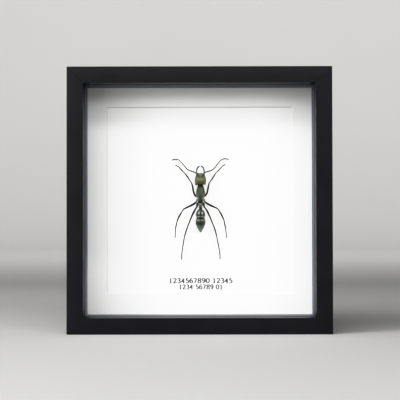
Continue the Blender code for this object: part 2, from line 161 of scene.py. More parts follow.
# Ant bodies: v, half width, half height and height off the card of each oval ring, head end first
HEAD_RINGS = [
    (13.02, 1.24, 0.26, 2.4), (12.9, 1.72, 0.55, 2.45), (12.5, 2.06, 0.88, 2.5), (11.7, 2.32, 1.14, 2.58),
    (10.5, 2.66, 1.38, 2.66), (9.3, 2.76, 1.5, 2.7), (8.4, 2.68, 1.42, 2.7), (7.45, 2.5, 1.16, 2.7),
    (6.93, 2.12, 0.78, 2.7), (6.8, 1.56, 0.45, 2.7),
]
THORAX_RINGS = [
    (8.1, 0.95, 0.36, 2.72), (7.8, 1.18, 0.52, 2.76), (7.4, 1.27, 0.68, 2.82), (6.85, 1.37, 0.86, 2.9),
    (6.1, 1.65, 1.12, 2.98), (4.9, 1.96, 1.4, 3.05), (3.65, 2.22, 1.52, 3.08), (2.45, 2.14, 1.5, 3.08),
    (1.3, 1.8, 1.4, 3.05), (0.2, 1.55, 1.28, 3.0), (-0.7, 1.38, 1.08, 2.92), (-1.3, 1.05, 0.76, 2.8),
    (-1.5, 0.55, 0.4, 2.72),
]
PETIOLE_RINGS = [
    (-1.3, 0.36, 0.34, 2.55), (-1.62, 0.62, 0.6, 2.65), (-1.85, 0.88, 0.92, 2.82), (-2.18, 0.99, 1.1, 2.95),
    (-2.6, 0.92, 0.9, 2.82), (-3.2, 0.84, 0.62, 2.6), (-3.9, 0.76, 0.56, 2.5), (-4.5, 0.66, 0.5, 2.5),
]
GASTER_RINGS = [
    (-4.3, 0.4, 0.38, 2.5), (-4.5, 0.9, 0.86, 2.5), (-4.9, 1.36, 1.28, 2.5), (-5.7, 1.92, 1.72, 2.52),
    (-6.8, 2.24, 1.98, 2.55), (-7.8, 2.16, 1.92, 2.55), (-8.3, 1.98, 1.82, 2.55), (-8.9, 2.04, 1.88, 2.55),
    (-9.6, 2.36, 2.08, 2.58), (-10.8, 2.41, 2.1, 2.58), (-12.1, 2.18, 1.92, 2.55), (-13.4, 1.66, 1.5, 2.5),
    (-14.6, 1.02, 0.96, 2.45), (-15.5, 0.46, 0.44, 2.4), (-15.86, 0.16, 0.16, 2.4),
]
# Eyes: where the right one's middle lies, and their half sizes
EYE_PLACE = (2.12, 9.60, 3.46)
EYE_SIZES = (0.30, 0.42, 0.34)
# Where each plate of the gaster ends
TERGITE_ENDS = (-8.6, -11.75, -13.35, -14.6, -15.3)

# Limbs: u, v and h along each one, from the body outwards
MANDIBLES = {
    "left": [
        (-1.65, 12.7, 2.42), (-1.8, 13.1, 2.4), (-1.85, 13.65, 2.35), (-1.8, 14.6, 2.28),
        (-1.55, 15.5, 2.26), (-1.05, 16.2, 2.26), (-0.45, 16.55, 2.28),
    ],
    "right": [
        (1.7, 12.7, 2.42), (1.8, 13.1, 2.4), (1.8, 13.65, 2.35), (1.75, 14.6, 2.28), (1.45, 15.5, 2.26),
        (0.9, 16.2, 2.26), (0.25, 16.55, 2.28),
    ],
}
ANTENNAE = {
    "left": [
        (-0.6, 10.95, 4.02), (-1.2, 11.7, 3.78), (-2.35, 13.2, 3.3), (-4.0, 13.9, 3.0), (-5.65, 14.5, 2.6),
        (-6.7, 15.25, 2.4), (-7.9, 16.8, 2.0), (-9.6, 18.75, 1.5), (-10.5, 19.6, 1.2), (-12.2, 20.0, 0.9),
        (-13.4, 19.85, 0.7), (-13.85, 19.4, 0.6),
    ],
    "right": [
        (0.6, 10.95, 4.02), (1.2, 11.75, 3.78), (2.2, 13.35, 3.3), (3.8, 13.9, 3.0), (5.65, 14.55, 2.6),
        (7.0, 15.7, 2.35), (8.3, 17.5, 1.95), (9.75, 19.2, 1.45), (10.45, 19.8, 1.2), (11.9, 20.2, 0.9),
        (13.0, 20.1, 0.7), (13.8, 19.85, 0.6),
    ],
}
LEGS = {
    "front_left": [
        (-0.85, 2.9, 1.4), (-1.45, 2.25, 1.12), (-1.9, 1.7, 0.92), (-2.25, 1.75, 0.92), (-2.8, 2.6, 1.25),
        (-3.4, 4.1, 1.75), (-3.8, 6.4, 2.4), (-4.2, 8.05, 2.75), (-4.7, 8.85, 2.6), (-6.5, 11.6, 1.6),
        (-7.6, 13.1, 0.75), (-9.3, 14.75, 0.36), (-10.7, 16.35, 0.32), (-12.05, 17.05, 0.3),
    ],
    "front_right": [
        (0.85, 2.9, 1.4), (1.45, 2.3, 1.12), (1.9, 1.85, 0.92), (2.2, 1.85, 0.92), (2.75, 2.7, 1.25),
        (3.3, 3.85, 1.75), (3.75, 6.1, 2.4), (4.15, 8.05, 2.75), (4.65, 8.8, 2.6), (6.15, 11.0, 1.65),
        (7.45, 13.2, 0.75), (9.15, 14.8, 0.36), (10.65, 16.55, 0.32), (12.0, 17.35, 0.3),
    ],
    "mid_left": [
        (-0.95, 0.8, 1.55), (-1.55, 0.25, 1.5), (-1.9, -0.45, 1.25), (-2.15, -1.05, 1.05),
        (-3.55, -2.1, 1.55), (-5.85, -3.25, 2.2), (-8.2, -4.4, 2.75), (-8.9, -5.4, 2.6), (-10.2, -7.6, 1.8),
        (-11.3, -9.9, 0.85), (-11.9, -12.25, 0.38), (-12.3, -14.6, 0.32), (-12.4, -18.3, 0.3),
    ],
    "mid_right": [
        (0.95, 0.8, 1.55), (1.6, 0.25, 1.5), (1.95, -0.45, 1.25), (2.25, -0.95, 1.05), (4.2, -2.25, 1.65),
        (6.25, -3.2, 2.25), (8.3, -4.2, 2.75), (8.9, -5.0, 2.6), (10.1, -6.95, 1.9), (11.4, -9.55, 0.85),
        (12.1, -13.0, 0.38), (12.45, -15.35, 0.32), (12.65, -18.35, 0.3),
    ],
    "hind_left": [
        (-0.9, -1.15, 1.6), (-1.4, -1.85, 1.65), (-1.6, -2.6, 1.35), (-1.75, -3.2, 1.1), (-2.4, -4.3, 1.35),
        (-3.45, -6.15, 1.8), (-4.55, -8.55, 2.4), (-5.45, -10.95, 2.75), (-5.9, -12.0, 2.55),
        (-6.95, -14.85, 1.55), (-7.75, -17.6, 0.75), (-8.45, -21.15, 0.36), (-9.1, -25.6, 0.32),
        (-9.3, -28.95, 0.3),
    ],
    "hind_right": [
        (0.9, -1.15, 1.6), (1.4, -1.85, 1.65), (1.6, -2.6, 1.35), (1.75, -3.2, 1.1), (2.4, -4.1, 1.35),
        (3.4, -5.65, 1.75), (4.65, -8.4, 2.4), (5.75, -11.1, 2.75), (6.15, -12.1, 2.55), (7.1, -14.65, 1.6),
        (7.85, -17.45, 0.75), (8.6, -21.4, 0.36), (9.35, -25.6, 0.32), (9.55, -28.65, 0.3),
    ],
}
# Radius of each limb at its rows, with its fine coat of hair
MANDIBLE_RADII = (0.36, 0.4, 0.37, 0.38, 0.41, 0.43, 0.31)
ANTENNA_RADII = (0.26, 0.26, 0.3, 0.34, 0.33, 0.3, 0.3, 0.27, 0.28, 0.3, 0.28, 0.22)
LEG_RADII = {
    "front": (0.4, 0.46, 0.34, 0.34, 0.44, 0.39, 0.38, 0.33, 0.25, 0.35, 0.26, 0.32, 0.25, 0.33),
    "mid": (0.42, 0.54, 0.44, 0.43, 0.46, 0.41, 0.35, 0.31, 0.4, 0.32, 0.33, 0.25, 0.27),
    "hind": (0.38, 0.55, 0.5, 0.38, 0.32, 0.42, 0.34, 0.33, 0.3, 0.34, 0.32, 0.28, 0.28, 0.29),
}
# Rows where an antenna's first joint and a leg's coxa end, and a leg's rows from its knee and ankle on
ELBOW_ROW = 4
COXA_ROW = 3
SHIN_ROWS = 7
FOOT_ROWS = 4
# How the small joints share the length of an antenna past its elbow, and of a foot
ANTENNA_SHARES = (1.25, 1.15, 1.1, 1.1, 1.05, 1.0, 1.0, 1.0, 0.95, 0.95, 1.4)
FOOT_SHARES = (4.6, 1.6, 1.2, 0.9, 1.5)

# How far the ink's face stands off the card, and its thickness. Then the caption's lines: middle, foot,
# stretch of the digits, and the pen's width where it runs up and across
INK_RISE = 0.012 * MM
INK_THICKNESS = 0.01 * MM
UPPER_LINE = (0.42 * MM, 22.9 * MM, 1.205, 0.35, 0.23)
LOWER_LINE = (0.45 * MM, 19.9 * MM, 1.10, 0.33, 0.22)

# Pen strokes of each digit in a box one unit high: points that a smooth curve or a straight line joins
DIGITS = {
    "0": [("curve", [(0.30, 1.0), (0.10, 0.84), (0.04, 0.5), (0.10, 0.16), (0.30, 0.0),
                     (0.50, 0.16), (0.56, 0.5), (0.50, 0.84), (0.30, 1.0)])],
    "1": [("line", [(0.12, 0.84), (0.31, 0.99), (0.31, 0.02)]), ("line", [(0.12, 0.0), (0.50, 0.0)])],
    "2": [("curve", [(0.07, 0.76), (0.13, 0.94), (0.30, 1.0), (0.49, 0.90), (0.50, 0.68), (0.36, 0.42),
                     (0.06, 0.03)]), ("line", [(0.05, 0.02), (0.55, 0.02), (0.56, 0.16)])],
    "3": [("curve", [(0.08, 0.84), (0.20, 0.99), (0.40, 0.96), (0.48, 0.78), (0.40, 0.60), (0.24, 0.54)]),
          ("curve", [(0.24, 0.54), (0.46, 0.47), (0.54, 0.27), (0.44, 0.06), (0.22, 0.0), (0.05, 0.12)])],
    "4": [("line", [(0.42, 0.0), (0.42, 0.99), (0.03, 0.30), (0.57, 0.30)]),
          ("line", [(0.28, 0.0), (0.55, 0.0)])],
    "5": [("line", [(0.50, 0.97), (0.16, 0.97), (0.12, 0.55)]),
          ("curve", [(0.12, 0.55), (0.30, 0.62), (0.50, 0.50), (0.53, 0.28), (0.42, 0.06), (0.20, 0.0),
                     (0.05, 0.10)])],
    "6": [("curve", [(0.50, 0.92), (0.34, 0.99), (0.14, 0.80), (0.05, 0.45), (0.10, 0.12), (0.30, 0.0),
                     (0.50, 0.12), (0.53, 0.35), (0.40, 0.55), (0.20, 0.52), (0.06, 0.34)])],
    "7": [("line", [(0.05, 0.84), (0.06, 0.97), (0.55, 0.97)]),
          ("curve", [(0.55, 0.97), (0.40, 0.60), (0.27, 0.30), (0.22, 0.0)])],
    "8": [("curve", [(0.30, 0.53), (0.12, 0.66), (0.12, 0.90), (0.30, 1.0), (0.48, 0.90), (0.47, 0.68),
                     (0.30, 0.53), (0.08, 0.38), (0.06, 0.12), (0.30, 0.0), (0.54, 0.12), (0.52, 0.36),
                     (0.30, 0.53)])],
    "9": [("curve", [(0.10, 0.08), (0.26, 0.01), (0.46, 0.20), (0.55, 0.55), (0.50, 0.88), (0.30, 1.0),
                     (0.10, 0.88), (0.07, 0.65), (0.20, 0.45), (0.40, 0.48), (0.54, 0.66)])],
}
# Width of a digit, and how far a digit and a space move the pen on, for digits one unit high
DIGIT_WIDTH = 0.6
DIGIT_ADVANCE = 0.76
SPACE_ADVANCE = 0.42


# Shapes


def smooth(rows, steps):
    """Points on the Catmull-Rom curve through the rows, with a number of steps from each to the next.

    Between rows p1 and p2 it is the cubic that leaves p1 along p2 - p0 and reaches p2 along p3 - p1.
    """
    rows = np.asarray(rows, float)
    ends = [2 * rows[:1] - rows[1:2], rows, 2 * rows[-1:] - rows[-2:-1]]
    p0, p1, p2, p3 = (np.concatenate(ends)[k : k + len(rows) - 1, None] for k in range(4))
    t = (np.arange(steps) / steps)[None, :, None]
    curve = 0.5 * (2 * p1 + (p2 - p0) * t + (2 * p0 - 5 * p1 + 4 * p2 - p3) * t**2
                   + (3 * p1 - p0 - 3 * p2 + p3) * t**3)
    return np.concatenate([curve.reshape(-1, rows.shape[1]), rows[-1:]])


def straight(rows, steps):
    """Points on the straight lines that join the rows."""
    rows = np.asarray(rows, float)
    t = (np.arange(steps) / steps)[None, :, None]
    line = rows[:-1, None] * (1 - t) + rows[1:, None] * t
    return np.concatenate([line.reshape(-1, rows.shape[1]), rows[-1:]])


def circle(sides):
    """Cosines and sines of a number of equal turns."""
    turn = 2 * pi * np.arange(sides) / sides
    return np.cos(turn), np.sin(turn)


def unit(vectors):
    """The vectors at length one."""
    return vectors / np.maximum(np.linalg.norm(vectors, axis=-1, keepdims=True), 1e-12)


def step(values, low, high):
    """A smooth step from 0 at low to 1 at high."""
    t = np.clip((values - low) / (high - low), 0, 1)
    return t * t * (3 - 2 * t)


def bell(values, middle, width):
    """A bell curve of height one."""
    return np.exp(-(((values - middle) / width) ** 2))


def ant_to_frame(points):
    """From u, v and h in millimetres to the model's frame in metres."""
    u, v, h = np.moveaxis(points, -1, 0)
    return np.stack([ANT_X + u * MM, CARD_Y - h * MM, ANT_Z + v * MM], axis=-1)


def frame_to_ant(points):
    """From points in the model's frame back to lists of u, v and h in millimetres."""
    x, y, z = points.T
    return (x - ANT_X) / MM, (z - ANT_Z) / MM, (CARD_Y - y) / MM


def ring_normals(rings):
    """Outward normals of the surface through the rings: the cross product of its two grid directions."""
    along = np.gradient(rings, axis=-3)
    around = np.roll(rings, -1, axis=-2) - np.roll(rings, 1, axis=-2)
    normals = unit(np.cross(around, along))
    outward = rings - rings.mean(axis=-2, keepdims=True)
    return normals * np.where((normals * outward).sum() < 0, -1.0, 1.0)


def tube_rings(path, radii, sides, flat):
    """Rings of a tube: at each point of the path an ellipse, square to the path.

    Its half width is the radius. Its half height, towards the glass, is the radius times flat.
    """
    tangent = unit(np.gradient(path, axis=0))
    up = unit(np.array([0.0, 0.0, 1.0]) - tangent * tangent[:, 2:])
    side = np.cross(tangent, up)
    wide, high = (turn[None, :, None] for turn in circle(sides))
    return path[:, None] + (side[:, None] * wide + up[:, None] * high * flat) * radii[:, None, None]


def domed(rows):
    """A limb's rows with a round end added beyond each end: the radius falls as a quarter ellipse."""
    bulge = 0.8
    turn = np.linspace(0, pi / 2, 5)[1:-1, None]
    caps = []
    for end, inner in ((0, 1), (-1, -2)):
        radius = rows[end, 3]
        reach = unit(rows[end, :3] - rows[inner, :3]) * np.sin(turn) * radius * bulge
        caps.append(np.hstack([rows[end, :3] + reach, radius * np.cos(turn)]))
    return np.concatenate([caps[0][::-1], rows, caps[1]])


def body_rings(rows, sides, steps, squareness=2.0):
    """Rings of a body: superellipses whose half sizes and height follow smooth curves along it."""
    wide, high = (np.sign(turn) * np.abs(turn) ** (2 / squareness) for turn in circle(sides))
    v, half_width, half_height, height = smooth(rows, steps).T[:, :, None]
    return np.stack([half_width * wide, v + 0 * wide, height + half_height * high], axis=-1)


def blob(centre, sizes):
    """Rings of an ellipsoid: the points of a ball, times the half sizes, about the centre."""
    polar = np.linspace(0.12, pi - 0.12, 14)[:, None]
    across, along = circle(20)
    ball = np.stack([np.sin(polar) * across, np.sin(polar) * along, np.cos(polar) + 0 * along], -1)
    return np.asarray(centre) + ball * np.asarray(sizes)


def signed_volume(points, quads, caps):
    """Six times the volume inside the faces, above zero where they face outwards."""
    triangles = np.concatenate([quads[:, :3], quads[:, [0, 2, 3]], caps])
    a, b, c = (points[triangles[:, k]] for k in range(3))
    return (a * np.cross(b, c)).sum()


def grid_quads(stations, sides, closed=False):
    """Quads that join each ring of a grid to the next, and the last to the first where it is closed."""
    i, j = np.meshgrid(np.arange(stations if closed else stations - 1), np.arange(sides), indexing="ij")
    ahead = (i + 1) % stations
    after = (j + 1) % sides
    corners = [i * sides + j, i * sides + after, ahead * sides + after, ahead * sides + j]
    return np.stack(corners, -1).reshape(-1, 4)


class Shape:
    """Points and faces gathered from closed surfaces, and written out as one mesh."""

    def __init__(self):
        self.points = []
        self.faces = []
        self.finishes = []
        self.total = 0

    def add(self, points, faces, finish):
        """Takes in points and faces, and the number of the material that the faces have."""
        self.points.append(points)
        self.faces += faces
        self.finishes += [finish] * len(faces)
        self.total += len(points)

    def rings(self, rings, finish=0, flat_ends=False):
        """Closed surfaces through rings[..., station, side, xyz].

        Each ring is joined to the next by quads. The first and last are closed by a fan of triangles
        round a pole in the ring's middle, or by one flat face.
        """
        rings = np.asarray(rings, float)
        rings = rings.reshape((-1,) + rings.shape[-3:])
        copies, stations, sides, _ = rings.shape
        points = np.concatenate([rings.reshape(copies, -1, 3), rings[:, [0, -1]].mean(axis=2)], axis=1)
        quads = grid_quads(stations, sides)
        side = np.arange(sides)
        after = (side + 1) % sides
        last = (stations - 1) * sides
        pole = np.full(sides, stations * sides)
        caps = np.concatenate([np.stack([after, side, pole], -1),
                               np.stack([last + side, last + after, pole + 1], -1)])
        inside_out = signed_volume(points[0], quads, caps) < 0
        if inside_out:
            quads = quads[:, ::-1]
            caps = caps[:, ::-1]
        if flat_ends:
            points = points[:, :-2]
        starts = self.total + np.arange(copies)[:, None, None] * points.shape[1]
        faces = (quads + starts).reshape(-1, 4).tolist()
        if flat_ends:
            order = side[::-1] if inside_out else side
            faces += (starts[:, 0] + order[::-1]).tolist() + (starts[:, 0] + last + order).tolist()
        else:
            faces += (caps + starts).reshape(-1, 3).tolist()
        self.add(points.reshape(-1, 3), faces, finish)

    def closed_path(self, rings):
        """A surface through rings that close on themselves, the last joined to the first."""
        stations, sides, _ = rings.shape
        points = rings.reshape(-1, 3)
        quads = grid_quads(stations, sides, closed=True)
        if signed_volume(points, quads, np.zeros((0, 3), int)) < 0:
            quads = quads[:, ::-1]
        self.add(points, (quads + self.total).tolist(), 0)

    def build(self, name, materials, smooth_angle, marks=None):
        """The mesh as an object. marks works out a red, green and blue weight for each point."""
        points = np.concatenate(self.points)
        mesh = bpy.data.meshes.new(name)
        mesh.from_pydata(points, [], self.faces)
        mesh.update()
        for material in materials:
            mesh.materials.append(material)
        mesh.polygons.foreach_set("material_index", self.finishes)
        mesh.shade_smooth()
        mesh.set_sharp_from_angle(angle=radians(smooth_angle))
        if marks is not None:
            colours = np.insert(np.clip(marks(points), 0, 1), 3, 1.0, axis=1)
            layer = mesh.attributes.new("marking", "FLOAT_COLOR", "POINT")
            layer.data.foreach_set("color", colours.astype(np.float32).ravel())
        made = bpy.data.objects.new(name, mesh)
        bpy.context.scene.collection.objects.link(made)
        return made


def dress(piece, slot, *nodes):
    """Makes the piece part of the object, in place of the nodes that it stands for."""
    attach(piece, "root")
    if nodes:
        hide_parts(*nodes)


def closed_piece(name, rings, material, slot, node, smooth_angle=40, flat_ends=True):
    """Builds one closed surface as a piece that stands for a node."""
    shape = Shape()
    shape.rings(rings, 0, flat_ends)
    dress(shape.build(name, [material], smooth_angle), slot, node)


def finish_node(name, material):
    """Gives a node that the scene carries as it is its material."""
    materials = frame["nodes"][name].data.materials
    materials.clear()
    materials.append(material)


def rounded(corners, radius, steps):
    """A closed outline with each corner turned into an arc of that radius, or of its own one.

    The arc's middle lies on the line that halves the corner, at the radius over the sine of half its angle.
    """
    corners = np.asarray(corners, float)
    radii = np.broadcast_to(radius, len(corners))
    t = np.linspace(0, 1, steps + 1)[:, None]
    outline = []
    for k, (corner, radius) in enumerate(zip(corners, radii)):
        to_last = unit(corners[k - 1] - corner)
        to_next = unit(corners[(k + 1) % len(corners)] - corner)
        half = np.arccos(np.clip(to_last @ to_next, -1, 1)) / 2
        reach = radius / np.tan(half)
        middle = corner + unit(to_last + to_next) * radius / np.sin(half)
        start = corner + to_last * reach - middle
        end = corner + to_next * reach - middle
        outline.append(middle + unit(start * (1 - t) + end * t) * radius)
    return np.concatenate(outline)


def inset(outline, amount):
    """The outline moved in by an amount, square to its two edges at each point."""
    before = unit(outline - np.roll(outline, 1, axis=0))
    after = unit(np.roll(outline, -1, axis=0) - outline)
    area = (outline[:, 0] * np.roll(outline[:, 1], -1) - np.roll(outline[:, 0], -1) * outline[:, 1]).sum()
    turn = np.array([[0.0, 1.0], [-1.0, 0.0]]) * np.sign(area)
    n1 = before @ turn
    n2 = after @ turn
    return outline + (n1 + n2) / (1 + (n1 * n2).sum(axis=1, keepdims=True)) * amount


# Materials


class Look:
    """A node material being built: a principled shader, and helpers that add nodes before it."""

    def __init__(self, name, **constants):
        self.material = bpy.data.materials.new(name)
        self.material.use_nodes = True
        self.tree = self.material.node_tree
        self.shader = self.tree.nodes["Principled BSDF"]
        for socket, value in constants.items():
            self.feed(self.shader.inputs[socket.replace("_", " ")], value)
        self.place = self.node("ShaderNodeTexCoord", "Object", {})

    def feed(self, socket, value):
        """Links a node's output to the socket, or sets the socket to a value."""
        if isinstance(value, NodeSocket):
            self.tree.links.new(value, socket)
        else:
            socket.default_value = (*value, 1.0) if socket.type == "RGBA" else value

    def node(self, kind, outlet, inputs, **settings):
        """Adds a node, feeds its inputs by name or number, and returns one of its outputs."""
        made = self.tree.nodes.new(kind)
        for name, value in settings.items():
            setattr(made, name, value)
        for socket, value in inputs.items():
            self.feed(made.inputs[socket], value)
        return made.outputs[outlet]

    def stretch(self, scale=(1, 1, 1)):
        """Object coordinates in millimetres, stretched along each axis."""
        return self.node("ShaderNodeMapping", 0, {"Vector": self.place, "Scale": [s / MM for s in scale]})

    def noise(self, scale, detail=3.0, roughness=0.5, stretch=(1, 1, 1)):
        """Noise with a number of lumps to the millimetre."""
        inputs = {"Vector": self.stretch(stretch), "Scale": scale, "Detail": detail, "Roughness": roughness}
        return self.node("ShaderNodeTexNoise", 0, inputs)

    def cells(self, scale, stretch=(1, 1, 1)):
        """How far the middle of the nearest cell is, with a number of cells to the millimetre."""
        return self.node("ShaderNodeTexVoronoi", 0, {"Vector": self.stretch(stretch), "Scale": scale})

    def ramp(self, factor, *stops):
        """A value or colour that follows the factor through (place, colour or grey) stops."""
        outlet = self.node("ShaderNodeValToRGB", 0, {"Fac": factor})
        elements = outlet.node.color_ramp.elements
        while len(elements) < len(stops):
            elements.new(0.5)
        for element, (place, value) in zip(elements, stops):
            element.position = place
            element.color = (*np.broadcast_to(value, 3), 1.0)
        return outlet

    def shades(self, factor, colour, *stops):
        """A colour that gets darker or lighter with the factor, through (place, share) stops."""
        return self.ramp(factor, *[(place, shade(colour, share)) for place, share in stops])

    def mix(self, factor, first, second):
        """Two colours mixed by a factor."""
        return self.node("ShaderNodeMix", 2, {0: factor, 6: first, 7: second}, data_type="RGBA")

    def math(self, operation, first, second):
        """Two values added, multiplied or the like."""
        return self.node("ShaderNodeMath", 0, {0: first, 1: second}, operation=operation)

    def blend(self, first, share, second, rest):
        """Two values added, each times its own weight."""
        return self.math("ADD", self.math("MULTIPLY", first, share), self.math("MULTIPLY", second, rest))

    def bump(self, height, depth, strength):
        """Relief of a depth in metres on the shader's normal."""
        inputs = {"Height": height, "Strength": strength, "Distance": depth}
        self.feed(self.shader.inputs["Normal"], self.node("ShaderNodeBump", 0, inputs))

    def paint(self, colour, roughness=None):
        """Feeds the shader its colour and roughness, and returns the finished material."""
        self.feed(self.shader.inputs["Base Color"], colour)
        if roughness is not None:
            self.feed(self.shader.inputs["Roughness"], roughness)
        return self.material


def shade(colour, factor):
    """The colour, lighter or darker by a factor."""
    return tuple(channel * factor for channel in colour)


def drawn_out(axis, share):
    """The scales that draw a pattern out along one axis, where it keeps only a share of its lumps."""
    return [share if k == axis else 1.0 for k in range(3)]


def satin_paint(name, colour, roughness, grain_axis, gloss=0.11, dust_film=0.0, haze=0.0):
    """Sprayed satin paint on wood: fine orange peel, faint grain along the rail and dust specks.

    Where it faces up, a film of dust takes off its sheen. Seen at a slant, it has a bluish haze.
    """
    sheen = {"Sheen_Weight": haze, "Sheen_Roughness": 0.35, "Sheen_Tint": HAZE_TINT}
    look = Look(name, Specular_IOR_Level=gloss, **sheen)
    grain = look.noise(2.2, 6.0, 0.6, drawn_out(grain_axis, 0.05))
    peel = look.noise(3.0, 2.0)
    cloud = look.noise(0.06, 3.0, 0.6)
    tone = look.shades(cloud, colour, (0.25, 0.85), (0.75, 1.18))
    speck = look.ramp(look.cells(0.9), (0.0, 1.0), (0.045, 0.0))
    rare = look.ramp(look.noise(0.35, 1.0), (0.62, 0.0), (0.70, 0.25))
    tone = look.mix(look.math("MULTIPLY", speck, rare), tone, DUST_COLOUR)
    rough = look.ramp(look.blend(grain, 0.5, cloud, 0.5), (0.3, roughness - 0.06), (0.7, roughness + 0.07))
    normal = look.node("ShaderNodeNewGeometry", "Normal", {})
    upward = look.node("ShaderNodeSeparateXYZ", "Z", {"Vector": normal})
    film = look.ramp(upward, (0.8, 0.0), (0.98, dust_film))
    look.bump(look.blend(grain, 0.6, peel, 0.4), 0.02 * MM, 0.2)
    return look.paint(tone, look.mix(film, rough, (0.9, 0.9, 0.9)))


def paper(name, colour, fibre=1.0):
    """Uncoated board: short fibres that bend every way, faint flecks and a dry, soft surface."""
    look = Look(name, Specular_IOR_Level=0.25)
    sway = look.node("ShaderNodeTexNoise", "Color", {"Vector": look.stretch(), "Scale": 1.4})
    swayed = {0: sway, 1: (1.2 * MM,) * 3, 2: look.place}
    swayed = look.node("ShaderNodeVectorMath", 0, swayed, operation="MULTIPLY_ADD")
    swayed = look.node("ShaderNodeMapping", 0, {"Vector": swayed, "Scale": (2.2 / MM, 2.2 / MM, 9 / MM)})
    fibres = look.node("ShaderNodeTexNoise", 0, {"Vector": swayed, "Scale": 1.0, "Detail": 5.0})
    tooth = look.noise(9.0, 4.0, 0.6)
    tone = look.shades(fibres, colour, (0.30, 0.975), (0.55, 1.0), (0.8, 1.012))
    warp = look.ramp(look.noise(0.8, 2.0), (0.35, 0.0), (0.8, 0.12))
    look.bump(look.blend(fibres, 0.5, tooth, 0.5), 0.03 * MM * fibre, 0.5)
    rough = look.ramp(tooth, (0.3, 0.80), (0.7, 0.90))
    return look.paint(look.mix(warp, tone, shade(colour, 0.96)), rough)


def clear_glass(name, tint):
    """A pane that lets light straight through and mirrors a little of it, more at a slant."""
    look = Look(name)
    look.tree.nodes.remove(look.shader)
    through = look.node("ShaderNodeBsdfTransparent", 0, {"Color": tint})
    smear = look.ramp(look.noise(0.05, 3.0), (0.3, 0.96), (0.7, 1.0))
    mirror = look.node("ShaderNodeBsdfGlossy", 0, {"Color": smear, "Roughness": 0.02})
    backs = look.node("ShaderNodeNewGeometry", "Backfacing", {})
    index = look.ramp(backs, (0.0, GLASS_INDEX), (1.0, 1 / GLASS_INDEX))
    slant = look.node("ShaderNodeFresnel", 0, {"IOR": index})
    pane = look.node("ShaderNodeMixShader", 0, {0: slant, 1: through, 2: mirror})
    look.feed(look.tree.nodes["Material Output"].inputs["Surface"], pane)
    return look.material


def cuticle(name, base, gold, pale, dark, roughness, coat, pits, gloss=0.3, polish=0.16):
    """Dried insect cuticle: three markings over a base colour, a fine net of pits and a soft gloss.

    The mesh's marking attribute holds the weights: red for gold, green for pale, blue for dark.
    On the ant's bodies the pale and dark weights also carry painted highlights and painted shade.
    """
    look = Look(name, Specular_IOR_Level=gloss, Coat_Weight=coat, Coat_Roughness=polish)
    marks = look.node("ShaderNodeAttribute", "Color", {}, attribute_name="marking")
    weights = look.node("ShaderNodeSeparateColor", 0, {0: marks}).node.outputs
    mottle = look.noise(1.6, 5.0, 0.62)
    uneven = look.math("ADD", look.math("MULTIPLY", mottle, 0.7), 0.65)
    tone = look.shades(mottle, base, (0.28, 0.72), (0.5, 1.0), (0.74, 1.35))
    for weight, colour in zip(weights, (gold, pale, dark)):
        tone = look.mix(look.math("MULTIPLY", weight, uneven), tone, colour)
    look.bump(look.blend(look.cells(11.0), 0.6, look.noise(22.0, 3.0, 0.6), 0.4), 0.012 * MM * pits, 0.6)
    rough = look.ramp(mottle, (0.3, roughness - 0.07), (0.7, roughness + 0.08))
    return look.paint(tone, look.mix(weights[2], rough, (0.8, 0.8, 0.8)))


def bristle(name, colour):
    """Stiff golden hairs, a little darker and lighter from one to the next."""
    look = Look(name, Roughness=0.4, Specular_IOR_Level=0.5)
    return look.paint(look.shades(look.noise(0.9, 2.0), colour, (0.35, 0.7), (0.65, 1.3)))


def compound_eye(name, colour):
    """A faceted eye: a honeycomb of low domes, glossy and nearly black."""
    look = Look(name, Roughness=0.18, Coat_Weight=0.5, Coat_Roughness=0.08)
    cells = look.cells(26.0)
    look.bump(look.math("SUBTRACT", 1.0, cells), 0.012 * MM, 0.8)
    return look.paint(look.shades(cells, colour, (0.1, 1.6), (0.6, 0.5)))


def ink(name, colour):
    """Thin printing ink, a little uneven in its density."""
    look = Look(name, Roughness=0.7, Specular_IOR_Level=0.3)
    look.bump(look.noise(20.0), 0.005 * MM, 0.4)
    return look.paint(look.shades(look.noise(14.0, 4.0, 0.6), colour, (0.3, 1.0), (0.75, 1.9)))


def fibreboard(name, colour):
    """Pressed brown fibreboard: tangled short fibres and a few dark and pale flecks."""
    look = Look(name, Specular_IOR_Level=0.3)
    coarse = look.noise(0.9, 6.0, 0.7)
    fine = look.noise(5.0, 5.0, 0.65, (1.0, 1.0, 0.6))
    tone = look.shades(fine, colour, (0.25, 0.62), (0.5, 1.0), (0.75, 1.35))
    tone = look.mix(look.ramp(coarse, (0.35, 0.0), (0.7, 0.45)), tone, shade(colour, 0.75))
    fleck = look.ramp(look.cells(1.7, (1.0, 1.0, 1.6)), (0.05, 0.7), (0.16, 0.0))
    look.bump(look.math("ADD", fine, coarse), 0.08 * MM, 0.5)
    return look.paint(look.mix(fleck, tone, shade(colour, 0.3)), look.ramp(fine, (0.3, 0.72), (0.7, 0.9)))


def bright_metal(name, colour, roughness, axis):
    """Plated sheet metal: fine rolling lines along one axis and dull blooms."""
    look = Look(name, Metallic=1.0)
    lines = look.noise(14.0, 4.0, 0.6, drawn_out(axis, 0.04))
    bloom = look.noise(0.7, 4.0, 0.6)
    look.bump(lines, 0.008 * MM, 0.5)
    tone = look.shades(bloom, colour, (0.3, 0.82), (0.7, 1.1))
    return look.paint(tone, look.math("ADD", look.blend(lines, 0.22, bloom, 0.2), roughness - 0.2))


def studio_surface(name, colour):
    """The stage's pale, even surface with the faintest mottling."""
    look = Look(name, Roughness=0.85, Specular_IOR_Level=0.15)
    return look.paint(look.shades(look.noise(0.004, 3.0), colour, (0.3, 0.985), (0.7, 1.0)))


# Settings that a user would change


def a_colour(label, note, default):
    """A setting that is a colour."""
    limits = {"subtype": "COLOR", "min": 0.0, "max": 1.0}
    return FloatVectorProperty(name=label, description=note, default=default, **limits)


def a_number(label, note, default, **kind):
    """A setting that is a number of some kind, zero or more."""
    return FloatProperty(name=label, description=note, default=default, min=0.0, **kind)


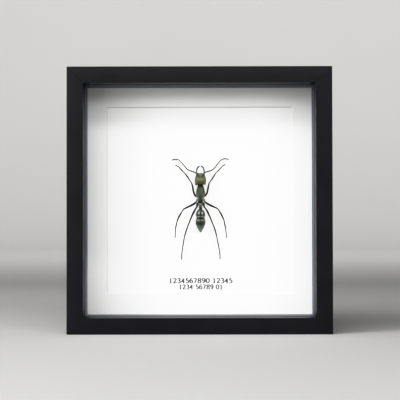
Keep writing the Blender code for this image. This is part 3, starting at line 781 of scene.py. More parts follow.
def a_line(label, note, default):
    """A setting that is a line of digits."""
    return StringProperty(name=label, description=note, default=default)


a_length = partial(a_number, unit="LENGTH", precision=5)
a_factor = partial(a_number, subtype="FACTOR", max=1.0)
a_power = partial(a_number, unit="POWER")


class FrameSettings(PropertyGroup):
    """Rails, slips and glass"""

    paint: a_colour("Paint", "Colour of the rails' satin paint", (0.0052, 0.0052, 0.0066))
    paint_roughness: a_factor("Paint roughness", "Roughness of the rails' paint", 0.36)
    dust_film: a_factor("Dust film", "How far dust dulls the top rail's upper face", 0.9)
    slip: a_colour("Spacer", "Colour of the spacer slips", (0.0155, 0.018, 0.0265))
    slip_roughness: a_factor("Spacer roughness", "Roughness of the spacer slips", 0.42)
    slip_haze: a_factor("Spacer haze", "Strength of the spacer slips' bluish haze at a slant", 0.11)
    arris: a_length("Arris", "Radius of the rails' long edges", 0.35 * MM)
    seam: a_length("Seam", "Half the width of the line where two rails meet", 0.008 * MM)
    glass_tint: a_colour("Glass", "What the glass leaves of the light that passes it", (0.99, 0.99, 0.99))


class CardSettings(PropertyGroup):
    """Mat, card and caption"""

    mat: a_colour("Mat", "Colour of the mat board's face", (0.86, 0.86, 0.855))
    core: a_colour("Mat core", "Colour of the mat board's cut edge", (0.73, 0.73, 0.72))
    card: a_colour("Card", "Colour of the mount card", (0.9, 0.9, 0.9))
    print_ink: a_colour("Print", "Colour of the caption's ink", (0.06, 0.06, 0.06))
    upper_line: a_line("Upper line", "Digits of the caption's upper line", "1234567890 12345")
    lower_line: a_line("Lower line", "Digits of the caption's lower line", "1234 56789 01")
    upper_height: a_length("Upper height", "Height of the upper line's digits", 2.2 * MM)
    lower_height: a_length("Lower height", "Height of the lower line's digits", 2.15 * MM)


class AntSettings(PropertyGroup):
    """The ant's colours and its coat of bristles"""

    olive: a_colour("Olive", "Ground colour of the head and thorax", (0.037, 0.048, 0.030))
    gold: a_colour("Gold", "Olive-gold patches of the head and thorax", (0.140, 0.149, 0.052))
    # The pale and dark colours also paint highlights and shade on the ant's bodies
    pale: a_colour("Pale", "Palest parts of the cuticle", (0.253, 0.287, 0.201))
    dark: a_colour("Dark", "Darkest parts of the cuticle", (0.004, 0.0045, 0.003))
    gaster: a_colour("Gaster", "Ground colour of the gaster", (0.011, 0.024, 0.0125))
    # Also the colour of the gaster's painted highlights
    gaster_pale_and_highlights: a_colour("Gaster bands", "Palest parts of the gaster", (0.31, 0.36, 0.285))
    jaw: a_colour("Jaw", "Colour of the jaws", (0.055, 0.058, 0.05))
    limb: a_colour("Limb", "Colour of the thighs", (0.003, 0.004, 0.0025))
    foot: a_colour("Foot", "Colour of the shins and feet", (0.036, 0.033, 0.013))
    antenna: a_colour("Antenna", "Colour of the antennae", (0.036, 0.034, 0.015))
    eye: a_colour("Eye", "Colour of the compound eyes", (0.02, 0.02, 0.016))
    hair: a_colour("Hair", "Colour of the bristles", (0.20, 0.15, 0.07))
    hair_count: IntProperty(name="Bristles", description="Bristles on the gaster, which the others follow",
                            default=260, min=0, max=2000)


class BackSettings(PropertyGroup):
    """Back board and hardware"""

    board: a_colour("Board", "Colour of the back board", (0.30, 0.19, 0.105))
    steel: a_colour("Steel", "Colour of the tabs", (0.62, 0.62, 0.63))
    brass: a_colour("Brass", "Colour of the hanger and its rivets", (0.70, 0.52, 0.24))


class StageSettings(PropertyGroup):
    """Floor, lights and camera"""

    floor: a_colour("Floor", "Colour of the floor and backdrop", (0.36, 0.357, 0.35))
    key_power: a_power("Key light", "Power of the large light at the upper left", 11.6)
    window_power: a_power("Window light", "Power of the light at the far left", 11.6)
    front_power: a_power("Front light", "Power of the low light over the camera", 2.1)
    upper_power: a_power("Upper light", "Power of the high light over the camera", 4.5)
    side_power: a_power("Side light", "Power of the small light at the right", 4.2)
    backdrop_power: a_power("Backdrop light", "Power of the light over the backdrop", 52.0)
    sky: a_number("Sky", "Strength of the even light all round", 0.01)
    lens: FloatProperty(name="Lens", description="Focal length of the camera in millimetres", default=100.6,
                        min=1.0)


# Frame, glass and boards


def side_frame(side):
    """A side's outer front edge: its middle, its directions inward and along, and half its length."""
    half = np.array([FRAME_WIDTH, 0.0, FRAME_HEIGHT]) / 2
    inward = np.array(INWARD[side], float)
    along = np.cross(inward, BACKWARD)
    start = np.array([0.0, FRONT_Y, FRAME_HEIGHT / 2]) - inward * half
    return start, inward, along, np.abs(along) @ half


def mitred_bar(side, outline, seam, ease):
    """A moulding carried along one side: its section's points (inward, backward) run from mitre to mitre.

    At each end the run stops short by the point's own inward distance, which cuts the corner at 45
    degrees, and the last ring is inset, which eases the mitre's edges.
    """
    start, inward, along, half = side_frame(side)
    rings = []
    for end, amount in ((-1, ease), (-1, 0.0), (1, 0.0), (1, ease)):
        section = inset(outline, amount)
        reach = end * (half - section[:, :1] - seam - (ease - amount))
        rings.append(start + section[:, :1] * inward + section[:, 1:] * BACKWARD + reach * along)
    return rings


def four_bars(name, node, slot, outline, seam, ease, paint):
    """The four bars of a mitred frame. paint(side, axis) is a bar's finish, with the grain along it."""
    for side in INWARD:
        finish = paint(side, 0 if side in ("top", "bottom") else 2)
        closed_piece(name + side, mitred_bar(side, outline, seam, ease), finish, slot, node + side, 50)


class SPECIMEN_OT_rails(Operator):
    """Build the four mitred rails of the box frame"""

    bl_idname = "specimen.rails"
    bl_label = "Frame rails"

    def execute(self, context):
        look = context.scene.specimen_frame
        corners = [(0, 0), (FACE_WIDTH, 0), (FACE_WIDTH, LIP_THICKNESS), (WALL_THICKNESS, LIP_THICKNESS),
                   (WALL_THICKNESS, FRAME_DEPTH), (0, FRAME_DEPTH)]
        outline = rounded(corners, (look.arris, *[SMALL_ARRIS] * 4, look.arris), 6)

        def paint(side, axis):
            """A rail's paint. Only the top rail has dust on it."""
            name = "satin_black_" + side
            film = look.dust_film if side == "top" else 0.0
            return satin_paint(name, look.paint, look.paint_roughness, axis, dust_film=film)

        four_bars("rail_", "frame_rail_", "black_paint", outline, look.seam, RAIL_EASE, paint)
        return {"FINISHED"}


class SPECIMEN_OT_spacers(Operator):
    """Build the black slips that hold the mat away from the glass"""

    bl_idname = "specimen.spacers"
    bl_label = "Spacer slips"

    def execute(self, context):
        look = context.scene.specimen_frame
        low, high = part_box("spacer_left")
        outer = low.x - cad_box[0][0]
        front = low.y - FRONT_Y
        back = high.y - FRONT_Y
        corners = [(outer, front), (FACE_WIDTH, front), (FACE_WIDTH, back), (outer, back)]
        outline = rounded(corners, SLIP_ARRIS, 4)

        def paint(side, axis):
            """A slip's paint, with its haze."""
            name = "black_slip_" + side
            return satin_paint(name, look.slip, look.slip_roughness, axis, 0.12, haze=look.slip_haze)

        four_bars("slip_", "spacer_", "black_slip", outline, look.seam, SLIP_EASE, paint)
        return {"FINISHED"}


class SPECIMEN_OT_glass(Operator):
    """Give the glass pane its finish"""

    bl_idname = "specimen.glass"
    bl_label = "Glass pane"

    def execute(self, context):
        finish_node("glass_pane", clear_glass("clear_glass", context.scene.specimen_frame.glass_tint))
        return {"FINISHED"}


class SPECIMEN_OT_boards(Operator):
    """Build the mat board with its bevelled window, and finish the mount card behind it"""

    bl_idname = "specimen.boards"
    bl_label = "Mat and card"

    def execute(self, context):
        look = context.scene.specimen_card
        low, high = (np.array(corner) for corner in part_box("mat_board"))
        thickness = high[1] - low[1]
        window = np.array(WINDOW_SIZE) / 2
        window_middle = np.array([0.0, WINDOW_CENTRE_Z])
        # The section's points: how far each lies outside the window's opening, and its depth
        section = [(0, thickness), (0.02 * MM, thickness - MAT_EASE),
                   (MAT_BEVEL - MAT_EASE, MAT_EASE * 0.6), (MAT_BEVEL, MAT_EASE * 0.1),
                   (MAT_BEVEL + MAT_EASE, 0)]
        rings = []
        for corner in np.array([(-1, -1), (1, -1), (1, 1), (-1, 1)]):
            ring = [(window_middle + corner * (window + out), low[1] + depth) for out, depth in section]
            outside = (low[::2] + high[::2]) / 2 + corner * (high[::2] - low[::2]) / 2
            ring += [(outside, low[1]), (outside, high[1])]
            rings.append([(x, y, z) for (x, z), y in ring])
        shape = Shape()
        shape.closed_path(np.array(rings))
        finishes = [paper("mat_face", look.mat), paper("mat_core", look.core, 1.6)]
        mat = shape.build("window_mat", finishes, 25)
        # Faces that are turned away from the board's front and back show its core
        facing = np.array([polygon.normal.y for polygon in mat.data.polygons])
        mat.data.polygons.foreach_set("material_index", (np.abs(facing) < 0.97).astype(int))
        dress(mat, "mat_board", "mat_board")
        finish_node("mount_card", paper("card_face", look.card, 0.7))
        return {"FINISHED"}


def caption_line(shape, digits, height, centre_x, base_z, stretch, thick, thin):
    """Digits as pen strokes: a ribbon along each stroke, wide where it runs up and thin across."""
    advance = np.array([SPACE_ADVANCE if digit == " " else DIGIT_ADVANCE for digit in digits]) * stretch
    starts = np.cumsum(advance) - advance
    left = centre_x - (starts[-1] + DIGIT_WIDTH * stretch) * height / 2
    front = CARD_Y - INK_RISE
    back = front + INK_THICKNESS
    for digit, start in zip(digits, starts):
        for kind, points in DIGITS.get(digit, ()):
            flow = smooth(points, 6) if kind == "curve" else straight(points, 4)
            flow = flow * [height * stretch, height]
            tangent = unit(np.gradient(flow, axis=0))
            normal = np.stack([-tangent[:, 1], tangent[:, 0]], axis=1)
            half = height * (thin + (thick - thin) * np.abs(tangent[:, 1:]) ** 1.5) / 2
            rings = []
            for edge, y in ((1, front), (-1, front), (-1, back), (1, back)):
                x, z = (flow + edge * normal * half).T
                rings.append(np.stack([left + start * height + x, np.full(len(x), y), base_z + z], axis=1))
            shape.rings(np.stack(rings, axis=1), flat_ends=True)


class SPECIMEN_OT_caption(Operator):
    """Print two lines of plain digits on the card, under the ant"""

    bl_idname = "specimen.caption"
    bl_label = "Caption"

    def execute(self, context):
        look = context.scene.specimen_card
        shape = Shape()
        caption_line(shape, look.upper_line, look.upper_height, *UPPER_LINE)
        caption_line(shape, look.lower_line, look.lower_height, *LOWER_LINE)
        dress(shape.build("caption_digits", [ink("caption_ink", look.print_ink)], 30), "mount_card")
        return {"FINISHED"}


# Ant


def bristles(shape, roots, directions, lengths, width, bend=0.25):
    """Hairs: three-sided cones in three rings, that bow towards the tail as they rise."""
    directions = unit(directions)
    aslant = np.array([0.37, 0.51, 0.77])
    side = unit(np.cross(directions, aslant))
    other = np.cross(directions, side)
    across, along = (turn[None, :, None] for turn in circle(3))
    outline = side[:, None] * across + other[:, None] * along
    rings = []
    for share, size in ((-0.1, 1.0), (0.55, 0.7), (1.0, 0.12)):
        centre = roots + directions * (lengths * share)[:, None]
        centre[:, 1] -= lengths * bend * max(share, 0) ** 2
        rings.append(centre[:, None] + outline * width * size)
    shape.rings(ant_to_frame(np.stack(rings, axis=1)), 1)


def scatter(rings, count, seed, lowest=-np.inf):
    """Random places on the rings' surface above a height, with their outward directions.

    Three times as many are drawn as are kept, because those that face the card are left out.
    """
    draw = np.random.default_rng(seed)
    station = draw.integers(1, rings.shape[0] - 1, count * 3)
    side = draw.integers(0, rings.shape[1], count * 3)
    places = rings[station, side]
    directions = ring_normals(rings)[station, side]
    good = (directions[:, 2] > -0.3) & (places[:, 2] > lowest)
    places = places[good][:count]
    return places, directions[good][:count] + draw.normal(0, 0.25, (len(places), 3)), draw


def head_rings():
    """The head capsule: boxy ovals, bowed in at the back, with ridges between the antennae."""
    rings = body_rings(HEAD_RINGS, 72, 7, 2.35)
    bow = (np.linspace(0, 1, len(rings)) ** 3)[:, None]
    across = np.abs(rings[..., 0]) / 2.75
    rings[..., 1] += bow * (1.05 * np.clip(1 - across**2, 0, 1) + 0.09 * rings[..., 0])
    rings[..., 1] += 0.22 * step(rings[..., 1], 11.8, 13.0) * bell(rings[..., 0], 0, 0.95)
    u, v, h = np.moveaxis(rings, -1, 0)
    ridge = bell(np.abs(u), 0.42 + 0.22 * (12.3 - v), 0.13) * step(v, 10.2, 10.9) * step(-v, -12.5, -12.0)
    groove = bell(u, 0, 0.09) * step(v, 8.4, 9.0) * step(-v, -11.6, -11.0)
    clypeus = bell(u, 0, 0.55) * step(v, 11.6, 12.4)
    socket = bell(np.hypot(np.abs(u) - 0.78, v - 11.05), 0, 0.26)
    lift = step(h, 2.6, 3.3) * (0.07 * ridge - 0.035 * groove + 0.07 * clypeus - 0.08 * socket)
    return rings + ring_normals(rings) * lift[..., None]


def head_marks(u, v, h):
    """Gold in two lobes across the middle, pale on the clypeus and dark along the ridges. Painted shade
    darkens the back, where the head goes down to the neck, and the underside; painted light lightens the
    right side.
    """
    side = np.abs(u)
    lobe = bell(np.abs(u + 0.13), 0.85, 0.40)
    gold = bell(v, 9.6, 1.45) * (1 - step(side, 1.95, 2.6)) * (0.85 + 0.3 * lobe * bell(v, 10.1, 0.8))
    # The right rim's gold is stronger: painted light on the side away from the key light.
    gold += bell(side, 2.15, 0.30) * step(v, 7.3, 8.0) * step(-v, -11.1, -10.0) * (0.9 + 0.25 * np.sign(u))
    pale = bell(u, 0, 0.75 * step(v, 10.6, 12.6) + 0.05) * step(v, 10.9, 12.4) * 0.53
    # The step on the right paints that side lighter: painted light.
    pale += 0.50 * lobe * bell(v, 10.45, 0.42) + 0.13 * step(u, 0.8, 1.8) + 0.10 * bell(v, 11.1, 0.4)
    # The back of the head is painted dark: painted shade where it goes down to the neck.
    dark = step(-v, -8.05, -7.5) * (1.0 - 0.9 * step(side, 1.1, 1.6) * step(v, 7.15, 7.5))
    dark += 0.35 * bell(v, 8.85, 0.55) * (1 - step(side, 1.4, 1.9))
    dark += 0.8 * bell(side, 0.45 + 0.72 * (v - 10.8), 0.26) * step(v, 10.6, 11.2)
    dark += 0.5 * bell(side, 1.48, 0.16) * step(-v, -10.7, -9.7) * step(v, 7.7, 8.4)
    # Darker underneath, towards the card: painted shade. The far left edge is darker too.
    dark += step(-h, -2.2, -1.4) + 0.16 * step(-u, 1.6, 2.1) * bell(v, 9.6, 1.3)
    return gold, pale, dark


def thorax_rings():
    """The thorax: ovals with a seam behind the collar, one before the waist and flat flanks."""
    rings = body_rings(THORAX_RINGS, 72, 8, 2.15)
    u, v, h = np.moveaxis(rings, -1, 0)
    collar = bell(v, 3.25 + 0.30 * u**2, 0.11)
    saddle = bell(v, 0.95 - 0.06 * u**2, 0.16)
    flank = bell(h, 2.75, 0.14) * step(v, -1.2, 0.0) * step(-v, -6.5, -5.5)
    hump = bell(v, 2.1, 1.0) * bell(u, 0, 1.1) - 0.6 * bell(v, 0.95, 0.5) * bell(u, 0, 1.2)
    lift = -0.07 * collar - 0.11 * saddle - 0.06 * flank + 0.10 * hump * step(h, 3.0, 4.0)
    return rings + ring_normals(rings) * lift[..., None]


def thorax_marks(u, v, h):
    """Grey back with olive edges, dark seams and pale flanks before the waist. The neck is painted black as
    shade under the head, and the back and flanks are painted lighter on the right as painted light.
    """
    side = np.abs(u)
    gold = 0.25 * step(side, 1.0, 1.7) * bell(v, 2.6, 0.9)
    # The grey back sits right of the middle, and the step lightens the right side: painted light against
    # the key light from the left.
    pale = 0.122 * bell(v, 3.6, 2.2) * bell(u, 0.45, 0.95) + 0.08 * step(u, -0.2, 1.0)
    # The pale flanks, the right one a little lighter as painted light.
    pale += (0.83 + 0.06 * np.sign(u)) * step(side, 0.80, 1.2) * bell(v, 0.3, 1.6)
    dark = 0.55 * bell(v, 3.25 + 0.30 * u**2, 0.13)
    dark += 0.44 * bell(v, 0.95, 0.16) * (1 - step(side, 0.9, 1.3))
    # The step at the front paints the neck black: painted shade under the head.
    dark += 0.95 * bell(v, -0.7, 0.75) * (1 - step(side, 0.7, 1.1)) + 1.6 * step(v, 6.02, 6.42)
    dark += 0.15 * step(side, 1.15, 1.7) * bell(v, 5.2, 1.4) + 0.5 * step(-v, 0.9, 1.4)
    return gold, pale, dark


def petiole_rings():
    """The waist: one thick, upright scale on a short stalk."""
    rings = body_rings(PETIOLE_RINGS, 48, 8)
    _, v, h = np.moveaxis(rings, -1, 0)
    rings[..., 2] += 0.28 * bell(v, -2.15, 0.35) * step(h, 2.9, 3.9)
    rings[..., 0] += 0.06 * step(-v, 2.6, 3.2)
    return rings


def petiole_marks(u, v, h):
    """Pale grey crown, an olive stalk behind it, a dark end at the gaster, and painted shade underneath."""
    pale = 0.87 * bell(v, -2.15, 0.72) * step(h, 2.6, 3.4)
    # The last term darkens the underside, towards the card: painted shade.
    return 0.62 * bell(v, -3.25, 0.6), pale, step(-v, 3.5, 4.0) + 0.7 * step(-h, -2.6, -2.0)


def gaster_rings():
    """The gaster: ovals with a step down behind each plate, and a deep waist after the first."""
    rings = body_rings(GASTER_RINGS, 80, 9)
    u, v, _ = np.moveaxis(rings, -1, 0)
    lift = np.zeros_like(u)
    for k, end in enumerate(TERGITE_ENDS):
        bowed = end - 0.05 * (u / 2.2) ** 2
        lift += (0.05 if k else 0.10) * (bell(v, bowed + 0.22, 0.24) - bell(v, bowed - 0.12, 0.12))
    middle = bell(u, 0.06, 0.4)
    lift -= (0.26 + 0.10 * middle) * bell(v, -8.85 - 0.20 * middle, 0.24 + 0.16 * middle)
    return rings + ring_normals(rings) * lift[..., None]


def gaster_marks(u, v, h):
    """Pale bands at the plates' edges and greyer towards the tip. Painted highlights: two spots on the
    first plate with a dark line between them, pale spots either side of the waist, a lighter front where it
    turns up and a lighter right side. Painted shade: a black bow in the waist's groove.
    """
    side = np.abs(u)
    right = np.sign(u)
    middle = bell(u, 0.06, 0.28)
    # The last term lightens the gaster's front, where it turns up: painted light.
    pale = 0.235 * step(-v, 12.1, 12.9) + 0.245 * step(-v, 13.4, 14.4) + 0.125 * bell(v, -5.1, 0.35)
    # The step on the right paints that side lighter: painted light.
    pale += 0.23 * bell(v, -12.6, 0.5) * step(side, 0.7, 1.4) + 0.09 * step(u, 1.0, 1.7)
    # Two painted highlights on the first plate, the right one stronger.
    pale += (1.05 + 0.20 * right) * bell(v, -6.40, 0.66) * bell(np.abs(u - 0.07), 0.80, 0.34)
    # Painted highlights: pale spots before and behind the waist's groove, stronger on the right.
    pale += (0.60 + 0.08 * right) * bell(v, -8.14, 0.32) * (1 - middle)
    pale += (0.43 + 0.08 * right) * bell(v, -9.78, 0.36) * (1 - 0.6 * middle) + 0.09 * bell(v, -10.5, 0.4)
    for end in TERGITE_ENDS[1:]:
        pale += 0.21 * bell(v, end + 0.07, 0.07)
    # Painted shade: a black bow in the waist's groove.
    dark = 1.6 * bell(v, -8.98, 0.30) * (1 - 0.6 * step(side, 1.2, 1.9))
    # The bow deepens in the middle, and a dark line is painted between the two painted highlights.
    dark += 1.2 * middle * bell(v, -9.0, 0.62) + 1.6 * middle * bell(v, -6.8, 0.95)
    dark += 0.6 * bell(v, -11.4, 0.9) * bell(u, 0, 1.3)
    return 0 * u, pale, dark + step(v, -4.55, -4.25)


class Limb:
    """A limb's shape, with two weights for each point: how far along the limb it lies, and how pale."""

    def __init__(self):
        self.shape = Shape()
        self.along = []
        self.pale = []

    def segment(self, rows, low, high, sides=14, flat=1.0, swell=0.12, pale=0.0):
        """One segment: a round-ended tube along smooth rows, a little thicker before its far end."""
        flow = smooth(rows, 5)
        share = np.linspace(0, 1, len(flow))
        flow[:, 3] *= 1 + swell * (np.sin(pi * share) - 0.5) + 0.5 * swell * share
        flow = domed(flow)
        rings = tube_rings(flow[:, :3], flow[:, 3], sides, flat)
        self.shape.rings(ant_to_frame(rings))
        self.along += [np.linspace(low, high, len(flow)).repeat(sides), [low, high]]
        self.pale.append(np.full(rings[..., 0].size + 2, pale))
        return rings

    def hairs(self, rings, count, seed, length, lean, width=0.018):
        """Short bristles on a segment, that lean towards its far end."""
        places, directions, draw = scatter(rings, count, seed, 0.2)
        forward = unit(rings[-1].mean(axis=0) - rings[0].mean(axis=0))
        lengths = length * draw.uniform(0.6, 1.2, len(places))
        before = self.shape.total
        bristles(self.shape, places, unit(directions) + forward * lean, lengths, width, 0.0)
        self.along.append(np.ones(self.shape.total - before))
        self.pale.append(np.zeros(self.shape.total - before))

    def build(self, name, node, materials):
        """The limb as a piece that stands for a node."""
        pale = np.concatenate(self.pale)
        weights = np.stack([np.concatenate(self.along), pale, 0 * pale], -1)
        dress(self.shape.build(name, materials, 60, lambda points: weights), "ant_limb_cuticle", node)


def resample(rows, pieces):
    """Cuts a smooth line through the rows into pieces with the given shares of its length."""
    flow = smooth(rows, 12)
    travel = np.concatenate([[0], np.cumsum(np.linalg.norm(np.diff(flow[:, :3], axis=0), axis=1))])
    cuts = np.concatenate([[0], np.cumsum(pieces)]) / np.sum(pieces) * travel[-1]
    for low, high in zip(cuts, cuts[1:]):
        at = np.linspace(low, high, 4)
        yield np.stack([np.interp(at, travel, column) for column in flow.T], axis=1)


class SPECIMEN_OT_ant_body(Operator):
    """Build the ant's head, thorax, waist and gaster"""

    bl_idname = "specimen.ant_body"
    bl_label = "Ant body"

    def execute(self, context):
        ant = context.scene.specimen_ant
        hair = bristle("golden_bristle", ant.hair)
        olive = cuticle("olive_cuticle", ant.olive, ant.gold, ant.pale, ant.dark,
                        roughness=0.45, coat=0.0, pits=1.3, gloss=0.16)
        shiny = cuticle("gaster_cuticle", ant.gaster, ant.gold, ant.gaster_pale_and_highlights, ant.dark,
                        roughness=0.32, coat=0.25, pits=0.8, gloss=0.2, polish=0.12)
        eye = compound_eye("compound_eye", ant.eye)
        # A body's piece, node, rings, marks, finish and slot, its share of the bristles and their length
        bodies = (
            ("head_capsule", "ant_head", head_rings(), head_marks, olive, "ant_olive_cuticle", 0.55, 0.38),
            ("thorax", "ant_thorax", thorax_rings(), thorax_marks, olive, "ant_olive_cuticle", 0.7, 0.45),
            ("waist", "ant_petiole", petiole_rings(), petiole_marks, olive, "ant_olive_cuticle", 0.12, 0.4),
            ("gaster", "ant_gaster", gaster_rings(), gaster_marks, shiny, "ant_gaster_cuticle", 1.0, 0.42),
        )
        for seed, (name, node, rings, marks, finish, slot, share, length) in enumerate(bodies):
            shape = Shape()
            shape.rings(ant_to_frame(rings))
            places, directions, draw = scatter(rings, int(ant.hair_count * share), seed)
            bristles(shape, places, directions, length * draw.uniform(0.5, 1.15, len(places)), 0.014)
            if node == "ant_head":
                for side in (-1, 1):
                    shape.rings(ant_to_frame(blob((side * EYE_PLACE[0], *EYE_PLACE[1:]), EYE_SIZES)), 2)
            points = np.concatenate(shape.points)
            weights = np.stack(marks(*frame_to_ant(points)), axis=-1)
            dress(shape.build(name, [finish, hair, eye], 60, lambda points: weights), slot, node)
        return {"FINISHED"}


class SPECIMEN_OT_ant_limbs(Operator):
    """Build the ant's jaws, antennae and legs"""

    bl_idname = "specimen.ant_limbs"
    bl_label = "Ant limbs"

    def execute(self, context):
        ant = context.scene.specimen_ant
        hair = bristle("limb_bristle", ant.hair)
        leg = cuticle("leg_cuticle", ant.limb, ant.foot, ant.pale, ant.dark,
                      roughness=0.42, coat=0.0, pits=0.6, gloss=0.14)
        jaw = cuticle("jaw_cuticle", ant.jaw, ant.dark, ant.pale, ant.dark,
                      roughness=0.3, coat=0.3, pits=0.5)
        feeler = cuticle("antenna_cuticle", ant.antenna, ant.foot, ant.pale, ant.dark,
                         roughness=0.42, coat=0.1, pits=0.6)
        for side, rows in MANDIBLES.items():
            self.jaw(side, np.column_stack([rows, MANDIBLE_RADII]), [jaw, hair])
        for side, rows in ANTENNAE.items():
            self.antenna(side, np.column_stack([rows, ANTENNA_RADII]), [feeler, hair])
        for name, rows in LEGS.items():
            self.leg(name, np.column_stack([rows, LEG_RADII[name.split("_")[0]]]), [leg, hair])
        return {"FINISHED"}

    def jaw(self, side, rows, materials):
        """A curved, flattened blade with teeth along its inner edge."""
        limb = Limb()
        rings = limb.segment(rows, 0.0, 0.6, sides=20, flat=0.62, swell=0.05, pale=0.22)
        flow = smooth(rows, 8)
        tangent = unit(np.gradient(flow[:, :3], axis=0))
        inner = np.cross(tangent, [0.0, 0.0, 1.0 if side == "left" else -1.0])
        # Five teeth, five steps apart along the smooth line, from its middle to near its tip
        for at in range(22, 43, 5):
            root = flow[at, :3] + inner[at] * flow[at, 3] * 0.7
            tip = root + inner[at] * 0.26 + tangent[at] * 0.08
            tooth = np.column_stack([[root, (root + tip) / 2, tip], [0.12, 0.075, 0.02]])
            limb.segment(tooth, 0.6, 1.0, sides=8, flat=0.7, swell=0.0)
        limb.hairs(rings, 24, seed=31, length=0.28, lean=0.5)
        limb.build("jaw_" + side, "ant_mandible_" + side, materials)

    def antenna(self, side, rows, materials):
        """A long first joint, then eleven short ones, each a little swollen at its far end."""
        limb = Limb()
        # A knob sits in the head's socket: it starts behind and below the first row, and is thinner
        root = rows[[0, 0]] - [[0, 0.12, 0.2, 0.06], [0, 0, 0, 0.06]]
        limb.segment(root, 0.0, 0.0, sides=12)
        first_joint = limb.segment(rows[: ELBOW_ROW + 1], 0.0, 0.3)
        limb.hairs(first_joint, 60, seed=5, length=0.14, lean=0.9, width=0.010)
        for k, piece in enumerate(resample(rows[ELBOW_ROW:], ANTENNA_SHARES)):
            piece[:, 3] *= (0.80, 0.95, 1.08, 1.02)
            rings = limb.segment(piece, 0.35 + 0.06 * k, 0.40 + 0.06 * k, sides=12, swell=0.0)
            limb.hairs(rings, 26, seed=50 + k, length=0.11, lean=1.2, width=0.008)
        limb.build("antenna_" + side, "ant_antenna_" + side, materials)

    def leg(self, name, rows, materials):
        """Coxa, trochanter, thigh, shin with its spur, five foot joints and two claws."""
        knee = len(rows) - SHIN_ROWS
        ankle = len(rows) - FOOT_ROWS
        limb = Limb()
        pale = 0.70 if name.startswith("mid") else 0.05
        limb.segment(rows[:COXA_ROW] * [1, 1, 1, 1.05], 0.5, 0.5, sides=16, flat=0.95, pale=pale)
        limb.segment(rows[COXA_ROW - 1 : COXA_ROW + 1] * [1, 1, 1, 0.85], 0.0, 0.0, sides=12)
        thigh = limb.segment(rows[COXA_ROW : knee + 1], 0.0, 0.06, sides=16, flat=0.92, swell=0.16)
        shin = limb.segment(rows[knee : ankle + 1], 0.18, 0.5, flat=0.9, swell=0.08)
        seed = sum(map(ord, name))
        limb.hairs(thigh, 90, seed, length=0.16, lean=0.8, width=0.012)
        limb.hairs(shin, 130, seed + 1, length=0.20, lean=1.0, width=0.013)
        # The shin's spur stands beside the first joint of the foot
        spur = np.array([rows[ankle], rows[ankle] + (rows[ankle + 1] - rows[ankle]) * 0.16])
        spur[:, 3] = (0.05, 0.015)
        spur[:, 0] += np.sign(rows[ankle, 0]) * -0.16
        limb.segment(spur, 0.5, 0.6, sides=6, swell=0.0)
        for k, piece in enumerate(resample(rows[ankle:], FOOT_SHARES)):
            piece[:, 3] *= (0.72, 0.84, 0.98, 1.05)
            rings = limb.segment(piece, 0.62 + 0.08 * k, 0.66 + 0.08 * k, sides=12, swell=0.0)
            count = 46 if k == 0 else 18
            limb.hairs(rings, count, seed + 2 + k, length=0.13, lean=1.4, width=0.010)
        # The claws spread to both sides of the foot's tip and bend down to the card
        tip = rows[-1, :3]
        forward = unit(tip - rows[-2, :3])
        for side in (-1, 1):
            out = np.array([-forward[1], forward[0], 0.0]) * side
            middle = tip + forward * 0.10 + out * 0.12
            point = tip + forward * 0.16 + out * 0.17 - [0, 0, 0.10]
            claw = np.column_stack([[tip - forward * 0.05, middle, point], [0.055, 0.045, 0.015]])
            limb.segment(claw, 0.9, 1.0, sides=6, swell=0.0)
        limb.build("leg_" + name, "ant_leg_" + name, materials)


# Back of the frame


def plate(outline, thickness, ease):
    """A flat plate's rings: the outline at the two faces and, inset by an arc, at their eased rims."""
    rings = []
    for turn in np.linspace(0, pi / 2, 4):
        rings.append(np.insert(inset(outline, ease * (1 - sin(turn))), 2, ease * (1 - cos(turn)), axis=1))
    return np.array(rings + [ring * [1, 1, -1] + [0, 0, thickness] for ring in rings[::-1]])


